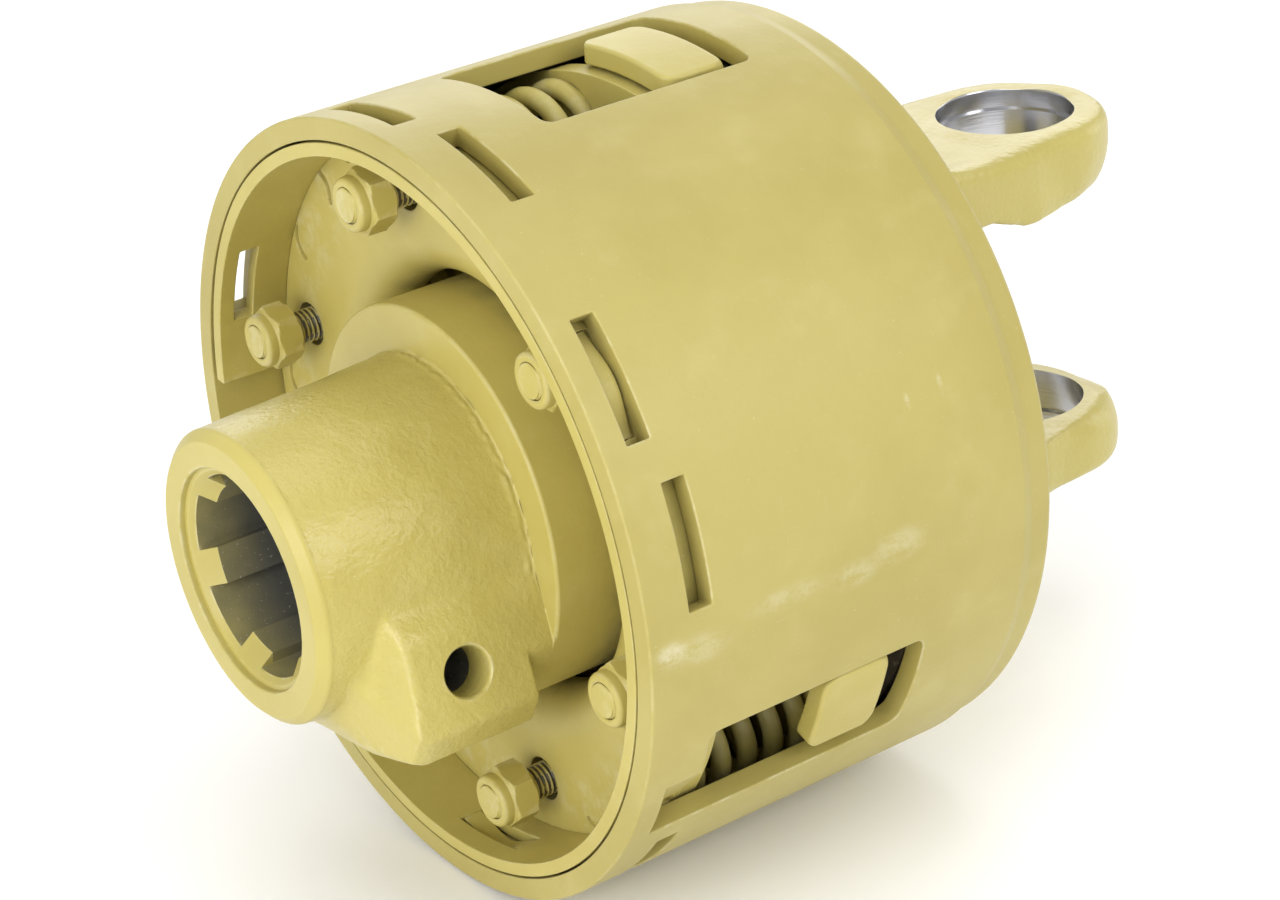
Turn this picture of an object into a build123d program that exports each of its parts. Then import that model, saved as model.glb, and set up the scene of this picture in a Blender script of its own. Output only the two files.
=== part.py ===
from build123d import *
import os
from math import asin, atan2, cos, degrees, radians, sin, sqrt, tan

# Friction torque limiter for a farm machine drive shaft: splined clamp hub, drum housing
# with a spring pack and friction discs, and a flange yoke for a cross bearing.
# Millimetres. The origin is the centre of the yoke's cross bore, +X runs along the shaft
# axis away from the hub, and +Z along the cross bore. Angles round the shaft are in
# degrees from +Y towards +Z.

# Driving dimensions: overall layout along the shaft
yoke_reach = 66.8
shell_length = 105.7
hub_stand_out = 41.3

# Housing drum
shell_radius = 87.5
shell_wall = 5.0
shell_front_round = 1.2
rear_lip = 2.2
rear_lip_inset = 6.0
rear_lip_round = 1.5
rear_seat_depth = 1.5
rear_band_length = 5.5
rear_band_step = 1.2
running_gap = 0.6

# Slots and windows in the drum
slot_across = 26.5
slot_width = 5.4
front_slot_setback = 6.0
second_slot_setback = 10.5
front_slot_angle = 84.6
second_slot_angle = 108.0
slot_count = 6
upper_window_angle = 91.3
upper_window_across = 40.9
upper_window_start = 31.4
lower_window_angle = 205.8
lower_window_across = 26.9
lower_window_start = 15.0
lower_window_behind = 5.5
window_corner = 2.5
window_end_gap = 0.15
lock_tab_across = 16.0
lock_tab_bend = 24.0
lock_tab_length_share = 0.86
lock_tab_root_angle = 2.0
lock_tab_room = 1.6

# Split retaining ring behind the drum's front rim
ring_length = 17.6
ring_thickness = 3.0
ring_shift = 1.2
ring_shift_angle = 200.0
ring_gap_middle = -2.0
ring_gap_angle = 14.0
ring_shell_gap = 0.1
tongue_across = 23.0
tongue_rise = 3.3
tongue_clearance = 0.35
tongue_root_sink = 0.2
tongue_root_angle = 0.6

# Spring plate
plate_sheet = 4.5
lip_bend = 10.0
lip_spring_gap = 2.75
lip_length = 2.5
stud_hole_clearance = 1.0
press_mark_radius = 5.5
press_mark_width = 1.6
press_mark_depth = 0.5
press_mark_half_angle = 46.0
press_mark_outset = 8.5
press_mark_step = 1.0

# Springs, studs and nuts
stud_count = 6
first_stud_angle = 18.0
stud_diameter = 8.0
stud_setback = 3.0
stud_end_chamfer = 0.7
spring_count = 12
spring_mean_radius = 10.8
spring_wire = 4.5
spring_turns = 6.0
spring_ground_share = 0.15
spring_shell_gap = 1.95
spring_seat_gap = 0.02
nut_across_flats = 13.0
nut_hex_height = 6.3
nut_collar_height = 2.5
nut_collar_radius = 6.15
nut_collar_round = 1.5
nut_setback = 0.2
nut_thread_gap = 0.05

# Friction pack, from the spring side to the yoke
pressure_plate_thickness = 5.5
lining_thickness = 3.5
hub_flange_thickness = 6.0
intermediate_plate_thickness = 5.5
driver_disc_thickness = 4.5
yoke_plate_thickness = 8.0
lining_shell_gap = 3.0
lining_hub_gap = 5.0
driver_disc_shell_gap = 4.0
hub_flange_inset = 3.5
tab_thickness = 4.9
tab_bend = 7.0
tab_root_depth = 5.0
upper_tab_across = 32.0
upper_tab_length = 22.0
lower_tab_across = 21.4
lower_tab_length = 20.8
lower_tab_side_gap = 0.2
upper_tab_side_gap = 1.5

# Hub
face_inner_radius = 24.7
face_outer_radius = 30.2
hub_front_radius = 32.4
hub_front_chamfer = 2.0
shoulder_step = 8.2
shoulder_lip_gap = 2.2
shoulder_setback = 7.4
neck_fillet = 3.0
shoulder_edge = 1.0
entry_ring_radius = 23.5
spline_major_radius = 22.3
spline_tip_radius = 19.4
spline_start = 4.7
spline_length = 74.0
spline_tooth_angle = 24.0
spline_first_tooth = 45.0
spline_count = 6
relief_radius = 24.0
hex_step = 7.0
hex_turn = 30.0
hex_clearance = 0.15
hub_end_gap = 1.5
bush_hex_wall = 5.0
bush_seat_relief = 1.0
bush_wall = 3.0
bush_length = 8.5
bush_running_gap = 0.05

# Clamp boss on the hub: flats face 165 degrees and opposite, the bolt passes below the bore
boss_face_angle = 165.0
boss_half_width = 35.5
boss_reach = 43.3
boss_edge = 6.0
boss_corner = 9.0
boss_front_edge = 15.0
boss_ramp = 12.5
boss_rise_start = 2.4
boss_rise_end = 26.0
clamp_bolt_hole = 10.5
clamp_bolt_offset = 26.5
clamp_bolt_setback = 27.8

# Flange yoke
cross_bore_radius = 16.0
ear_half_span = 44.0
ear_boss_inner = 26.0
ear_gap_half = 30.5
ear_radius = 24.0
ear_root_half_width = 32.0
ear_edge = 3.6
ear_root_depth = 4.0
ear_flare_reach = 62.0
ear_waist_setback = 12.0
ear_waist_reach = 51.0
ear_crest_setback = 34.0
ear_crest_reach = 45.0
ear_flat_start = 18.0
ear_inner_step_start = 29.0
ear_inner_step_end = 17.0
ear_inner_round_setback = 22.0
ear_inner_round_middle = 5.0
ear_inner_round_rise = 3.5
ear_inner_root_rise = 14.0
ear_tip_inner_depth = 4.0
ear_tip_step_depth = 10.0
ear_tip_chamfer = 1.5
ring_groove_depth = 1.0
ring_groove_width = 1.7
ring_groove_inset = 4.5
yoke_bore_radius = 20.0
spigot_length = 9.0

# Stations along the shaft, worked out from the yoke bore forwards
shell_rear = -yoke_reach
shell_front = shell_rear - shell_length
hub_face = shell_front - hub_stand_out
yoke_plate_front = shell_rear - rear_lip - yoke_plate_thickness
lining_4_front = yoke_plate_front - lining_thickness
driver_disc_front = lining_4_front - driver_disc_thickness
lining_3_front = driver_disc_front - lining_thickness
intermediate_front = lining_3_front - intermediate_plate_thickness
lining_2_front = intermediate_front - lining_thickness
hub_flange_front = lining_2_front - hub_flange_thickness
lining_1_front = hub_flange_front - lining_thickness
pressure_front = lining_1_front - pressure_plate_thickness
ring_rear = shell_front + ring_length
seat_front = ring_rear + plate_sheet
shoulder_face = shell_front + shoulder_setback
hub_rear = yoke_plate_front - hub_end_gap

# Radii worked out from the drum inwards: springs, spring plate, hub, hexagon and bush
shell_inner = shell_radius - shell_wall
rear_seat_radius = shell_inner + rear_seat_depth
plate_radius = shell_inner - running_gap
stud_radius = stud_diameter / 2
spring_outer_radius = spring_mean_radius + spring_wire / 2
stud_circle = shell_inner - spring_shell_gap - spring_outer_radius
lip_radius = stud_circle - spring_outer_radius - lip_spring_gap - plate_sheet
shoulder_radius = lip_radius - shoulder_lip_gap
neck_end_radius = shoulder_radius - shoulder_step
lining_radius = shell_inner - lining_shell_gap
lining_bore = shoulder_radius + lining_hub_gap
driver_disc_radius = shell_inner - driver_disc_shell_gap
hub_flange_radius = lining_radius - hub_flange_inset
hex_half = shoulder_radius - hex_step
bush_outer_radius = hex_half - bush_hex_wall
spigot_radius = bush_outer_radius - bush_wall

# Cutting tools reach this far past the surface that they cut through
cut_over = 1.0
cut_reach = shell_radius + 10 * cut_over

# Two places nearer than this count as the same one when edges are picked
same_place = 0.05


def ring_angles(count, first):
    """Angles of equally spaced copies round the shaft."""
    return [first + 360 / count * i for i in range(count)]


stud_angles = ring_angles(stud_count, first_stud_angle)
spring_angles = ring_angles(spring_count, first_stud_angle)
upper_angles = ring_angles(2, upper_window_angle)
lower_angles = ring_angles(2, lower_window_angle)
front_slot_angles = ring_angles(slot_count, front_slot_angle)
second_slot_angles = ring_angles(slot_count, second_slot_angle)


def section(x):
    """Plane across the shaft: its x is +Y and its y is +Z."""
    return Plane.YZ.offset(x)


def spoke(angle, x=0.0):
    """Plane whose normal points outwards at an angle, with its x along the shaft."""
    outwards = (0, cos(radians(angle)), sin(radians(angle)))
    return Plane(origin=(x, 0, 0), x_dir=(1, 0, 0), z_dir=outwards)


def axial(angle):
    """Plane through the shaft axis: its x runs along the shaft, its y outwards."""
    turned = radians(angle)
    return Plane(origin=(0, 0, 0), x_dir=(1, 0, 0), z_dir=(0, -sin(turned), cos(turned)))


def on_circle(radius, angle):
    """Point of a section plane at a radius and an angle."""
    return (radius * cos(radians(angle)), radius * sin(radians(angle)))


def across_angle(across, radius):
    """Angle that a chord spans on a circle."""
    return 2 * degrees(asin(across / 2 / radius))


def finish(shape, name):
    """Label a finished piece and write it."""
    shape.label = name
    export_step(shape, f"parts/{name}.step")


os.makedirs("parts", exist_ok=True)

# Housing drum: tube with a rolled lip behind the yoke's plate
windows = [(upper_angles, upper_window_across, upper_window_start, lining_3_front)]
windows += [(lower_angles, lower_window_across, lower_window_start, lining_1_front + lower_window_behind)]
lower_half = across_angle(lower_window_across, shell_radius) / 2
lock_half = across_angle(lock_tab_across, shell_radius) / 2
plain_slots = [a for a in front_slot_angles if min(abs(a % 180 - b % 180) for b in lower_angles) > 15]

with BuildPart() as clutch_housing:
    with BuildSketch(Plane.XY) as drum_profile:
        with BuildLine():
            Polyline(
                (shell_front, shell_inner),
                (shell_front, shell_radius),
                (shell_rear - rear_band_length - rear_band_step, shell_radius),
                (shell_rear - rear_band_length, shell_radius - rear_band_step),
                (shell_rear, shell_radius - rear_band_step),
                (shell_rear, shell_inner - rear_lip_inset),
                (shell_rear - rear_lip, shell_inner - rear_lip_inset),
                (shell_rear - rear_lip, rear_seat_radius),
                (yoke_plate_front, rear_seat_radius),
                (yoke_plate_front, shell_inner),
                close=True,
            )
        make_face()
        outer_corners = drum_profile.vertices().group_by(Axis.Y)[-1].sort_by(Axis.X)
        fillet(outer_corners[0], shell_front_round)
        rear_corners = drum_profile.vertices().group_by(Axis.X)[-1].sort_by(Axis.Y)
        fillet(rear_corners[-1], rear_lip_round)
    revolve(axis=Axis.X)
    for angle in plain_slots:
        slot_middle = shell_front + front_slot_setback + slot_width / 2
        with BuildSketch(spoke(angle, slot_middle)):
            Rectangle(slot_width, slot_across)
        extrude(amount=cut_reach, mode=Mode.SUBTRACT)
    for angle in second_slot_angles:
        slot_middle = shell_front + second_slot_setback + slot_width / 2
        with BuildSketch(spoke(angle, slot_middle)):
            Rectangle(slot_width, slot_across)
        extrude(amount=cut_reach, mode=Mode.SUBTRACT)
    for angles, across, start, end in windows:
        window_front = shell_front + start
        window_rear = end + window_end_gap
        for angle in angles:
            with BuildSketch(spoke(angle, (window_front + window_rear) / 2)):
                RectangleRounded(window_rear - window_front, across, window_corner)
            extrude(amount=cut_reach, mode=Mode.SUBTRACT)
    # Each lower window runs on forwards beside a strip that is bent in against the ring
    for angle in lower_angles:
        opening_front = shell_front + front_slot_setback
        opening_rear = shell_front + lower_window_start + window_corner * 2
        opening_length = opening_rear - opening_front
        far_edge = angle + lower_half
        middle = far_edge - lock_half
        with BuildSketch(spoke(middle, (opening_front + opening_rear) / 2)):
            Rectangle(opening_length, lock_tab_across)
        extrude(amount=cut_reach, mode=Mode.SUBTRACT)
        hinge_angle = middle - lock_half
        tab_reach = lock_tab_across * lock_tab_length_share
        root_angle = hinge_angle - lock_tab_root_angle
        tab_length = lower_window_start - front_slot_setback - tongue_clearance
        with BuildSketch(section(opening_front + tongue_clearance)) as lock_tab:
            outer_hinge = Vector(*on_circle(shell_radius, hinge_angle))
            inner_hinge = Vector(*on_circle(shell_inner, hinge_angle))
            back_outer = Vector(*on_circle(shell_radius, root_angle))
            back_inner = Vector(*on_circle(shell_inner, root_angle))
            run = Vector(*on_circle(tab_reach, hinge_angle + 90 + lock_tab_bend))
            sheet = (inner_hinge - outer_hinge).rotate(Axis.Z, lock_tab_bend)
            inner_corner = inner_hinge - run * (shell_wall * tan(radians(lock_tab_bend / 2)) / tab_reach)
            with BuildLine():
                Polyline(
                    back_outer,
                    outer_hinge,
                    outer_hinge + run,
                    outer_hinge + run + sheet,
                    inner_corner,
                    back_inner,
                    close=True,
                )
            make_face()
        extrude(amount=tab_length)
finish(clutch_housing.part, "clutch_housing")

# Split ring behind the front rim, sprung off centre so that one side bears on the drum
ring_outer = shell_inner - ring_shift - ring_shell_gap
ring_inner = ring_outer - ring_thickness
ring_centre = on_circle(ring_shift, ring_shift_angle)
tongue_width = slot_width - 2 * tongue_clearance
slit_width = slot_width + 2 * tongue_clearance
tongue_start = shell_front + front_slot_setback + tongue_clearance
tongue_end_radius = ring_outer - ring_thickness / 2
with BuildPart() as retaining_ring:
    with BuildSketch(section(shell_front)):
        with Locations(ring_centre):
            Circle(ring_outer)
            Circle(ring_inner, mode=Mode.SUBTRACT)
        with BuildLine():
            Polyline(
                (0, 0),
                on_circle(cut_reach, ring_gap_middle - ring_gap_angle / 2),
                on_circle(cut_reach, ring_gap_middle + ring_gap_angle / 2),
                close=True,
            )
        make_face(mode=Mode.SUBTRACT)
    extrude(amount=ring_length)
    # Slits under the drum's front slots, each with its tongue pressed outwards
    for angle in plain_slots:
        slit_middle = shell_front + front_slot_setback + slot_width / 2
        with BuildSketch(spoke(angle, slit_middle)):
            Rectangle(slit_width, tongue_across)
        extrude(amount=cut_reach, mode=Mode.SUBTRACT)
        half = across_angle(tongue_across, tongue_end_radius) / 2 + tongue_root_angle
        base = ring_outer + ring_shift * cos(radians(angle - ring_shift_angle))
        root_outer = base - tongue_root_sink
        root_inner = base - ring_thickness + tongue_root_sink
        with BuildSketch(section(tongue_start)):
            with BuildLine():
                start_out = on_circle(root_outer, angle - half)
                end_out = on_circle(root_outer, angle + half)
                start_in = on_circle(root_inner, angle - half)
                end_in = on_circle(root_inner, angle + half)
                ThreePointArc(start_out, on_circle(base + tongue_rise, angle), end_out)
                Line(end_out, end_in)
                ThreePointArc(end_in, on_circle(base + tongue_rise - ring_thickness, angle), start_in)
                Line(start_in, start_out)
            make_face()
        extrude(amount=tongue_width)
    # Room for the drum's bent strips
    for angle in lower_angles:
        far_edge = angle + lower_half
        room_length = lower_window_start - front_slot_setback + 2 * tongue_clearance
        with BuildSketch(spoke(far_edge - lock_half, shell_front + front_slot_setback + room_length / 2)):
            Rectangle(room_length, lock_tab_across + 2 * lock_tab_room)
        extrude(amount=cut_reach, mode=Mode.SUBTRACT)
finish(retaining_ring.part, "retaining_ring")

# Spring plate: flat ring whose inner edge curls back round the hub
with BuildPart() as spring_plate:
    with BuildSketch(Plane.XY):
        with BuildLine():
            bend_start = lip_radius + lip_bend
            bend_end = ring_rear + lip_bend
            inner_bend = lip_bend - plate_sheet
            diagonal = sqrt(0.5)
            front_middle = (bend_end - lip_bend * diagonal, bend_start - lip_bend * diagonal)
            back_middle = (bend_end - inner_bend * diagonal, bend_start - inner_bend * diagonal)
            Line((ring_rear, plate_radius), (ring_rear, bend_start))
            ThreePointArc((ring_rear, bend_start), front_middle, (bend_end, lip_radius))
            Line((bend_end, lip_radius), (bend_end + lip_length, lip_radius))
            Line((bend_end + lip_length, lip_radius), (bend_end + lip_length, lip_radius + plate_sheet))
            Line((bend_end + lip_length, lip_radius + plate_sheet), (bend_end, lip_radius + plate_sheet))
            ThreePointArc((bend_end, lip_radius + plate_sheet), back_middle, (seat_front, bend_start))
            Line((seat_front, bend_start), (seat_front, plate_radius))
            Line((seat_front, plate_radius), (ring_rear, plate_radius))
        make_face()
    revolve(axis=Axis.X)
    with BuildSketch(section(ring_rear)):
        with PolarLocations(stud_circle, stud_count, first_stud_angle):
            Circle(stud_radius + stud_hole_clearance)
    extrude(amount=plate_sheet, mode=Mode.SUBTRACT)
    # Shallow crescent press marks beside the studs and between them
    press_mark_circle = stud_circle + press_mark_outset
    press_marks = [
        (press_mark_circle, 14.5, -60.0),
        (press_mark_circle - press_mark_step / 2, 30.0, 85.0),
        (press_mark_circle + press_mark_step, 44.5, -45.0),
    ]
    for stud_angle in stud_angles:
        for mark_circle, offset, turn in press_marks:
            with BuildSketch(section(ring_rear)):
                mark_angle = stud_angle + offset
                arc_radius = press_mark_radius
                centre = Vector(*on_circle(mark_circle, mark_angle))
                centre -= Vector(*on_circle(arc_radius, mark_angle + turn))
                facing = mark_angle + turn
                with BuildLine():
                    outer = arc_radius + press_mark_width / 2
                    inner = arc_radius - press_mark_width / 2
                    half = press_mark_half_angle
                    outer_start = centre + Vector(*on_circle(outer, facing - half))
                    outer_middle = centre + Vector(*on_circle(outer, facing))
                    outer_end = centre + Vector(*on_circle(outer, facing + half))
                    inner_start = centre + Vector(*on_circle(inner, facing - half))
                    inner_middle = centre + Vector(*on_circle(inner, facing))
                    inner_end = centre + Vector(*on_circle(inner, facing + half))
                    ThreePointArc(outer_start, outer_middle, outer_end)
                    Line(outer_end, inner_end)
                    ThreePointArc(inner_end, inner_middle, inner_start)
                    Line(inner_start, outer_start)
                make_face()
            extrude(amount=press_mark_depth, mode=Mode.SUBTRACT)
finish(spring_plate.part, "spring_plate")

# Pressure plate and intermediate plate: rings with two tabs bent forwards into the windows


def tabbed_plate(front, thickness, tab_length, tab_across, tab_angles, holes):
    """Ring plate with tabs that end flush with the drum's outside."""
    rear = front + thickness
    with BuildPart() as plate:
        with BuildSketch(section(front)):
            Circle(plate_radius)
            Circle(lining_bore, mode=Mode.SUBTRACT)
        extrude(amount=thickness)
        for angle in tab_angles:
            with BuildSketch(axial(angle)) as tab_profile:
                with BuildLine():
                    Polyline(
                        (front, plate_radius - tab_root_depth),
                        (front, shell_radius - tab_thickness),
                        (rear - tab_length, shell_radius - tab_thickness),
                        (rear - tab_length, shell_radius + cut_over),
                        (rear, shell_radius + cut_over),
                        (rear, plate_radius - tab_root_depth),
                        close=True,
                    )
                make_face()
                bend = tab_profile.vertices().group_by(Axis.X)[-1].sort_by(SortBy.DISTANCE)
                fillet(bend[-1], tab_bend)
            extrude(amount=tab_across / 2, both=True)
        with BuildSketch(section(rear - tab_length - cut_over)):
            Circle(shell_radius)
        extrude(amount=tab_length + 2 * cut_over, mode=Mode.INTERSECT)
        if holes:
            with BuildSketch(section(front)):
                with PolarLocations(stud_circle, stud_count, first_stud_angle):
                    Circle(stud_radius)
            extrude(amount=thickness, mode=Mode.SUBTRACT)
    return plate.part


# Each lower tab bears on the near side of its window, each upper tab on the far side
lower_play = across_angle(lower_window_across - lower_tab_across - 2 * lower_tab_side_gap, shell_radius) / 2
upper_play = across_angle(upper_window_across - upper_tab_across - 2 * upper_tab_side_gap, shell_radius) / 2
lower_tab_angles = [angle - lower_play for angle in lower_angles]
upper_tab_angles = [angle + upper_play for angle in upper_angles]
finish(
    tabbed_plate(
        pressure_front, pressure_plate_thickness, lower_tab_length, lower_tab_across, lower_tab_angles, True
    ),
    "pressure_plate",
)
finish(
    tabbed_plate(
        intermediate_front,
        intermediate_plate_thickness,
        upper_tab_length,
        upper_tab_across,
        upper_tab_angles,
        False,
    ),
    "intermediate_plate",
)

# Friction linings
lining_fronts = [lining_1_front, lining_2_front, lining_3_front, lining_4_front]
for number, front in enumerate(lining_fronts, start=1):
    with BuildPart() as friction_disc:
        with BuildSketch(section(front)):
            Circle(lining_radius)
            Circle(lining_bore, mode=Mode.SUBTRACT)
        extrude(amount=lining_thickness)
    finish(friction_disc.part, f"friction_disc_{number}")

# Driver disc on the hub's hexagon
with BuildPart() as driver_disc:
    with BuildSketch(section(driver_disc_front)):
        Circle(driver_disc_radius)
        RegularPolygon(hex_half + hex_clearance, 6, major_radius=False, rotation=hex_turn, mode=Mode.SUBTRACT)
    extrude(amount=driver_disc_thickness)
finish(driver_disc.part, "driver_disc")

# Hub: turned body, clamp boss, friction flange, hexagon, splines and bolt hole
boss_down = boss_face_angle + 90
boss_plane = Plane(
    origin=(hub_face, 0, 0),
    x_dir=(1, 0, 0),
    z_dir=(0, -cos(radians(boss_face_angle)), -sin(radians(boss_face_angle))),
)
boss_width_plane = Plane(
    origin=(hub_face, 0, 0),
    x_dir=(1, 0, 0),
    z_dir=(0, cos(radians(boss_down)), sin(radians(boss_down))),
)
boss_rear = shoulder_face - hub_face
with BuildPart() as clamp_boss:
    with BuildSketch(boss_plane) as boss_side:
        with BuildLine():
            rise_start = (boss_rise_start, hub_front_radius - cut_over)
            rise_end = (boss_rise_end, boss_reach)
            TangentArc(rise_end, rise_start, tangent=(-1, 0))
            Line(rise_end, (boss_rear - boss_corner, boss_reach))
            corner_mid = (
                boss_rear - boss_corner * (1 - sqrt(0.5)),
                boss_reach - boss_corner * (1 - sqrt(0.5)),
            )
            ThreePointArc(
                (boss_rear - boss_corner, boss_reach),
                corner_mid,
                (boss_rear, boss_reach - boss_corner),
            )
            Polyline(
                (boss_rear, boss_reach - boss_corner),
                (boss_rear, 0),
                (boss_rise_start, 0),
                rise_start,
            )
        make_face()
    extrude(amount=boss_half_width, both=True)
    lower_edges = clamp_boss.edges().filter_by(
        lambda edge: boss_plane.to_local_coords(edge.center()).Y > boss_reach - boss_corner - cut_over
        and abs(boss_plane.to_local_coords(edge.center()).Z) > boss_half_width - same_place
    )
    chamfer(lower_edges, boss_edge)
    with BuildSketch(boss_width_plane) as boss_plan:
        with BuildLine():
            shelf = boss_half_width - boss_ramp
            lead = boss_front_edge - boss_ramp
            bow = boss_ramp * sqrt(0.5)
            corner = (lead + bow, boss_half_width - bow)
            far_corner = (lead + bow, bow - boss_half_width)
            ThreePointArc((lead, shelf), corner, (boss_front_edge, boss_half_width))
            Polyline(
                (boss_front_edge, boss_half_width),
                (boss_rear, boss_half_width),
                (boss_rear, -boss_half_width),
                (boss_front_edge, -boss_half_width),
            )
            ThreePointArc((boss_front_edge, -boss_half_width), far_corner, (lead, -shelf))
            Line((lead, -shelf), (lead, shelf))
        make_face()
    extrude(amount=boss_reach + cut_over, mode=Mode.INTERSECT)

tooth_chord = 2 * spline_tip_radius * sin(radians(spline_tooth_angle / 2))
spline_lead = spline_start - spline_major_radius + spline_tip_radius
spline_end = hub_face + spline_start + spline_length
bush_seat_front = yoke_plate_front - spigot_length - bush_seat_relief
with BuildPart() as hub:
    with BuildSketch(Plane.XY) as hub_profile:
        with BuildLine():
            Polyline(
                (hub_face, face_outer_radius),
                (hub_face + hub_front_chamfer, hub_front_radius),
                (shoulder_face, neck_end_radius),
                (shoulder_face, shoulder_radius),
                (hub_flange_front, shoulder_radius),
                (hub_flange_front, hub_flange_radius),
                (lining_2_front, hub_flange_radius),
                (lining_2_front, shoulder_radius),
                (hub_rear, shoulder_radius),
                (hub_rear, 0),
                (hub_face, 0),
                close=True,
            )
        make_face()
        neck_root = hub_profile.vertices().filter_by(lambda v: abs(v.X - shoulder_face) < same_place)
        fillet(neck_root.sort_by(Axis.Y)[0], neck_fillet)
        shoulder_corner = hub_profile.vertices().filter_by(lambda v: abs(v.X - shoulder_face) < same_place)
        chamfer(shoulder_corner.sort_by(Axis.Y)[-1], shoulder_edge)
    revolve(axis=Axis.X)
    # Hexagonal seat behind the friction flange
    with BuildSketch(section(lining_2_front)):
        Circle(shoulder_radius + cut_over)
        RegularPolygon(hex_half, 6, major_radius=False, rotation=hex_turn, mode=Mode.SUBTRACT)
    extrude(amount=hub_rear - lining_2_front, mode=Mode.SUBTRACT)
    add(clamp_boss.part)
    # Bore: entry chamfer, spline tips, relief and the bush's seat
    with BuildSketch(Plane.XY):
        with BuildLine():
            Polyline(
                (hub_face, 0),
                (hub_face, face_inner_radius),
                (hub_face + face_inner_radius - entry_ring_radius, entry_ring_radius),
                (hub_face + spline_lead, spline_major_radius),
                (hub_face + spline_start, spline_tip_radius),
                (spline_end, spline_tip_radius),
                (spline_end, relief_radius),
                (bush_seat_front, relief_radius),
                (bush_seat_front, bush_outer_radius),
                (hub_rear, bush_outer_radius),
                (hub_rear, 0),
                close=True,
            )
        make_face()
    revolve(axis=Axis.X, mode=Mode.SUBTRACT)
    # Spline grooves between the teeth
    with BuildSketch(section(hub_face + spline_lead)):
        Circle(spline_major_radius)
        with PolarLocations(spline_major_radius, spline_count, spline_first_tooth):
            Rectangle(spline_major_radius, tooth_chord, mode=Mode.SUBTRACT)
    extrude(amount=spline_end - hub_face - spline_lead, mode=Mode.SUBTRACT)
    # Clamp bolt hole, across the boss
    with BuildSketch(boss_plane):
        with Locations((clamp_bolt_setback, clamp_bolt_offset)):
            Circle(clamp_bolt_hole / 2)
    extrude(amount=boss_half_width + cut_over, both=True, mode=Mode.SUBTRACT)
finish(hub.part, "hub")

# Flange yoke: round plate with a spigot, and two ears for the cross bearing
with BuildPart() as flange_yoke:
    # Ears: side outline cut to the outline seen along the cross bore
    with BuildSketch(Plane.XZ) as ear_side:
        with BuildLine():
            outer_edge = Spline(
                (shell_rear - ear_root_depth, ear_flare_reach),
                (shell_rear + ear_waist_setback, ear_waist_reach),
                (shell_rear + ear_crest_setback, ear_crest_reach),
                (-ear_flat_start, ear_half_span),
                tangents=((0.5, -1), (1, 0)),
            )
            Polyline(
                outer_edge @ 1,
                (ear_radius + cut_over, ear_half_span),
                (ear_radius + cut_over, ear_gap_half + ear_tip_chamfer),
                (ear_radius - ear_tip_inner_depth, ear_gap_half - ear_tip_chamfer),
                (ear_radius - ear_tip_step_depth, ear_boss_inner),
                (-ear_inner_step_end, ear_boss_inner),
                (-ear_inner_step_start, ear_gap_half),
                (shell_rear + ear_inner_round_setback, ear_gap_half),
            )
            inner_root = Spline(
                (shell_rear + ear_inner_round_setback, ear_gap_half),
                (shell_rear + ear_inner_round_middle, ear_gap_half + ear_inner_round_rise),
                (shell_rear - ear_root_depth, ear_gap_half + ear_inner_root_rise),
                tangents=((-1, 0), (-0.4, 1)),
            )
            Line(inner_root @ 1, outer_edge @ 0)
        make_face()
    extrude(amount=ear_root_half_width + cut_over, both=True)
    mirror(about=Plane.XY)
    with BuildSketch(Plane.XY) as ear_plan:
        with BuildLine():
            CenterArc((0, 0), ear_radius, 0, 360)
            root_x = shell_rear - ear_root_depth - cut_over
            Line((root_x, ear_root_half_width), (root_x, -ear_root_half_width))
        make_hull()
    extrude(amount=ear_flare_reach + cut_over, both=True, mode=Mode.INTERSECT)
    outer_rims = flange_yoke.edges().filter_by(
        lambda edge: edge.center().X > 0 and abs(abs(edge.center().Z) - ear_half_span) < same_place
    )
    fillet(outer_rims, ear_edge)
    # Round plate and spigot
    with BuildSketch(section(yoke_plate_front)):
        Circle(rear_seat_radius)
    extrude(amount=yoke_plate_thickness)
    with BuildSketch(section(yoke_plate_front - spigot_length)):
        Circle(spigot_radius)
    extrude(amount=spigot_length)
    with BuildSketch(section(yoke_plate_front - spigot_length)):
        Circle(yoke_bore_radius)
    extrude(amount=spigot_length + yoke_plate_thickness + rear_lip, mode=Mode.SUBTRACT)
    # Cross bore with its ring grooves
    with BuildSketch(Plane.XY):
        Circle(cross_bore_radius)
    extrude(amount=ear_half_span + cut_over, both=True, mode=Mode.SUBTRACT)
    for side in (-1, 1):
        groove_middle = side * (ear_half_span - ring_groove_inset)
        with BuildSketch(Plane.XY.offset(groove_middle)):
            Circle(cross_bore_radius + ring_groove_depth)
        extrude(amount=ring_groove_width / 2, both=True, mode=Mode.SUBTRACT)
finish(flange_yoke.part, "flange_yoke")

# Bush pressed into the hub, running on the yoke's spigot
with BuildPart() as centring_bush:
    with BuildSketch(section(hub_rear - bush_length)):
        Circle(bush_outer_radius)
        Circle(spigot_radius + bush_running_gap, mode=Mode.SUBTRACT)
    extrude(amount=bush_length)
finish(centring_bush.part, "centring_bush")

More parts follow.
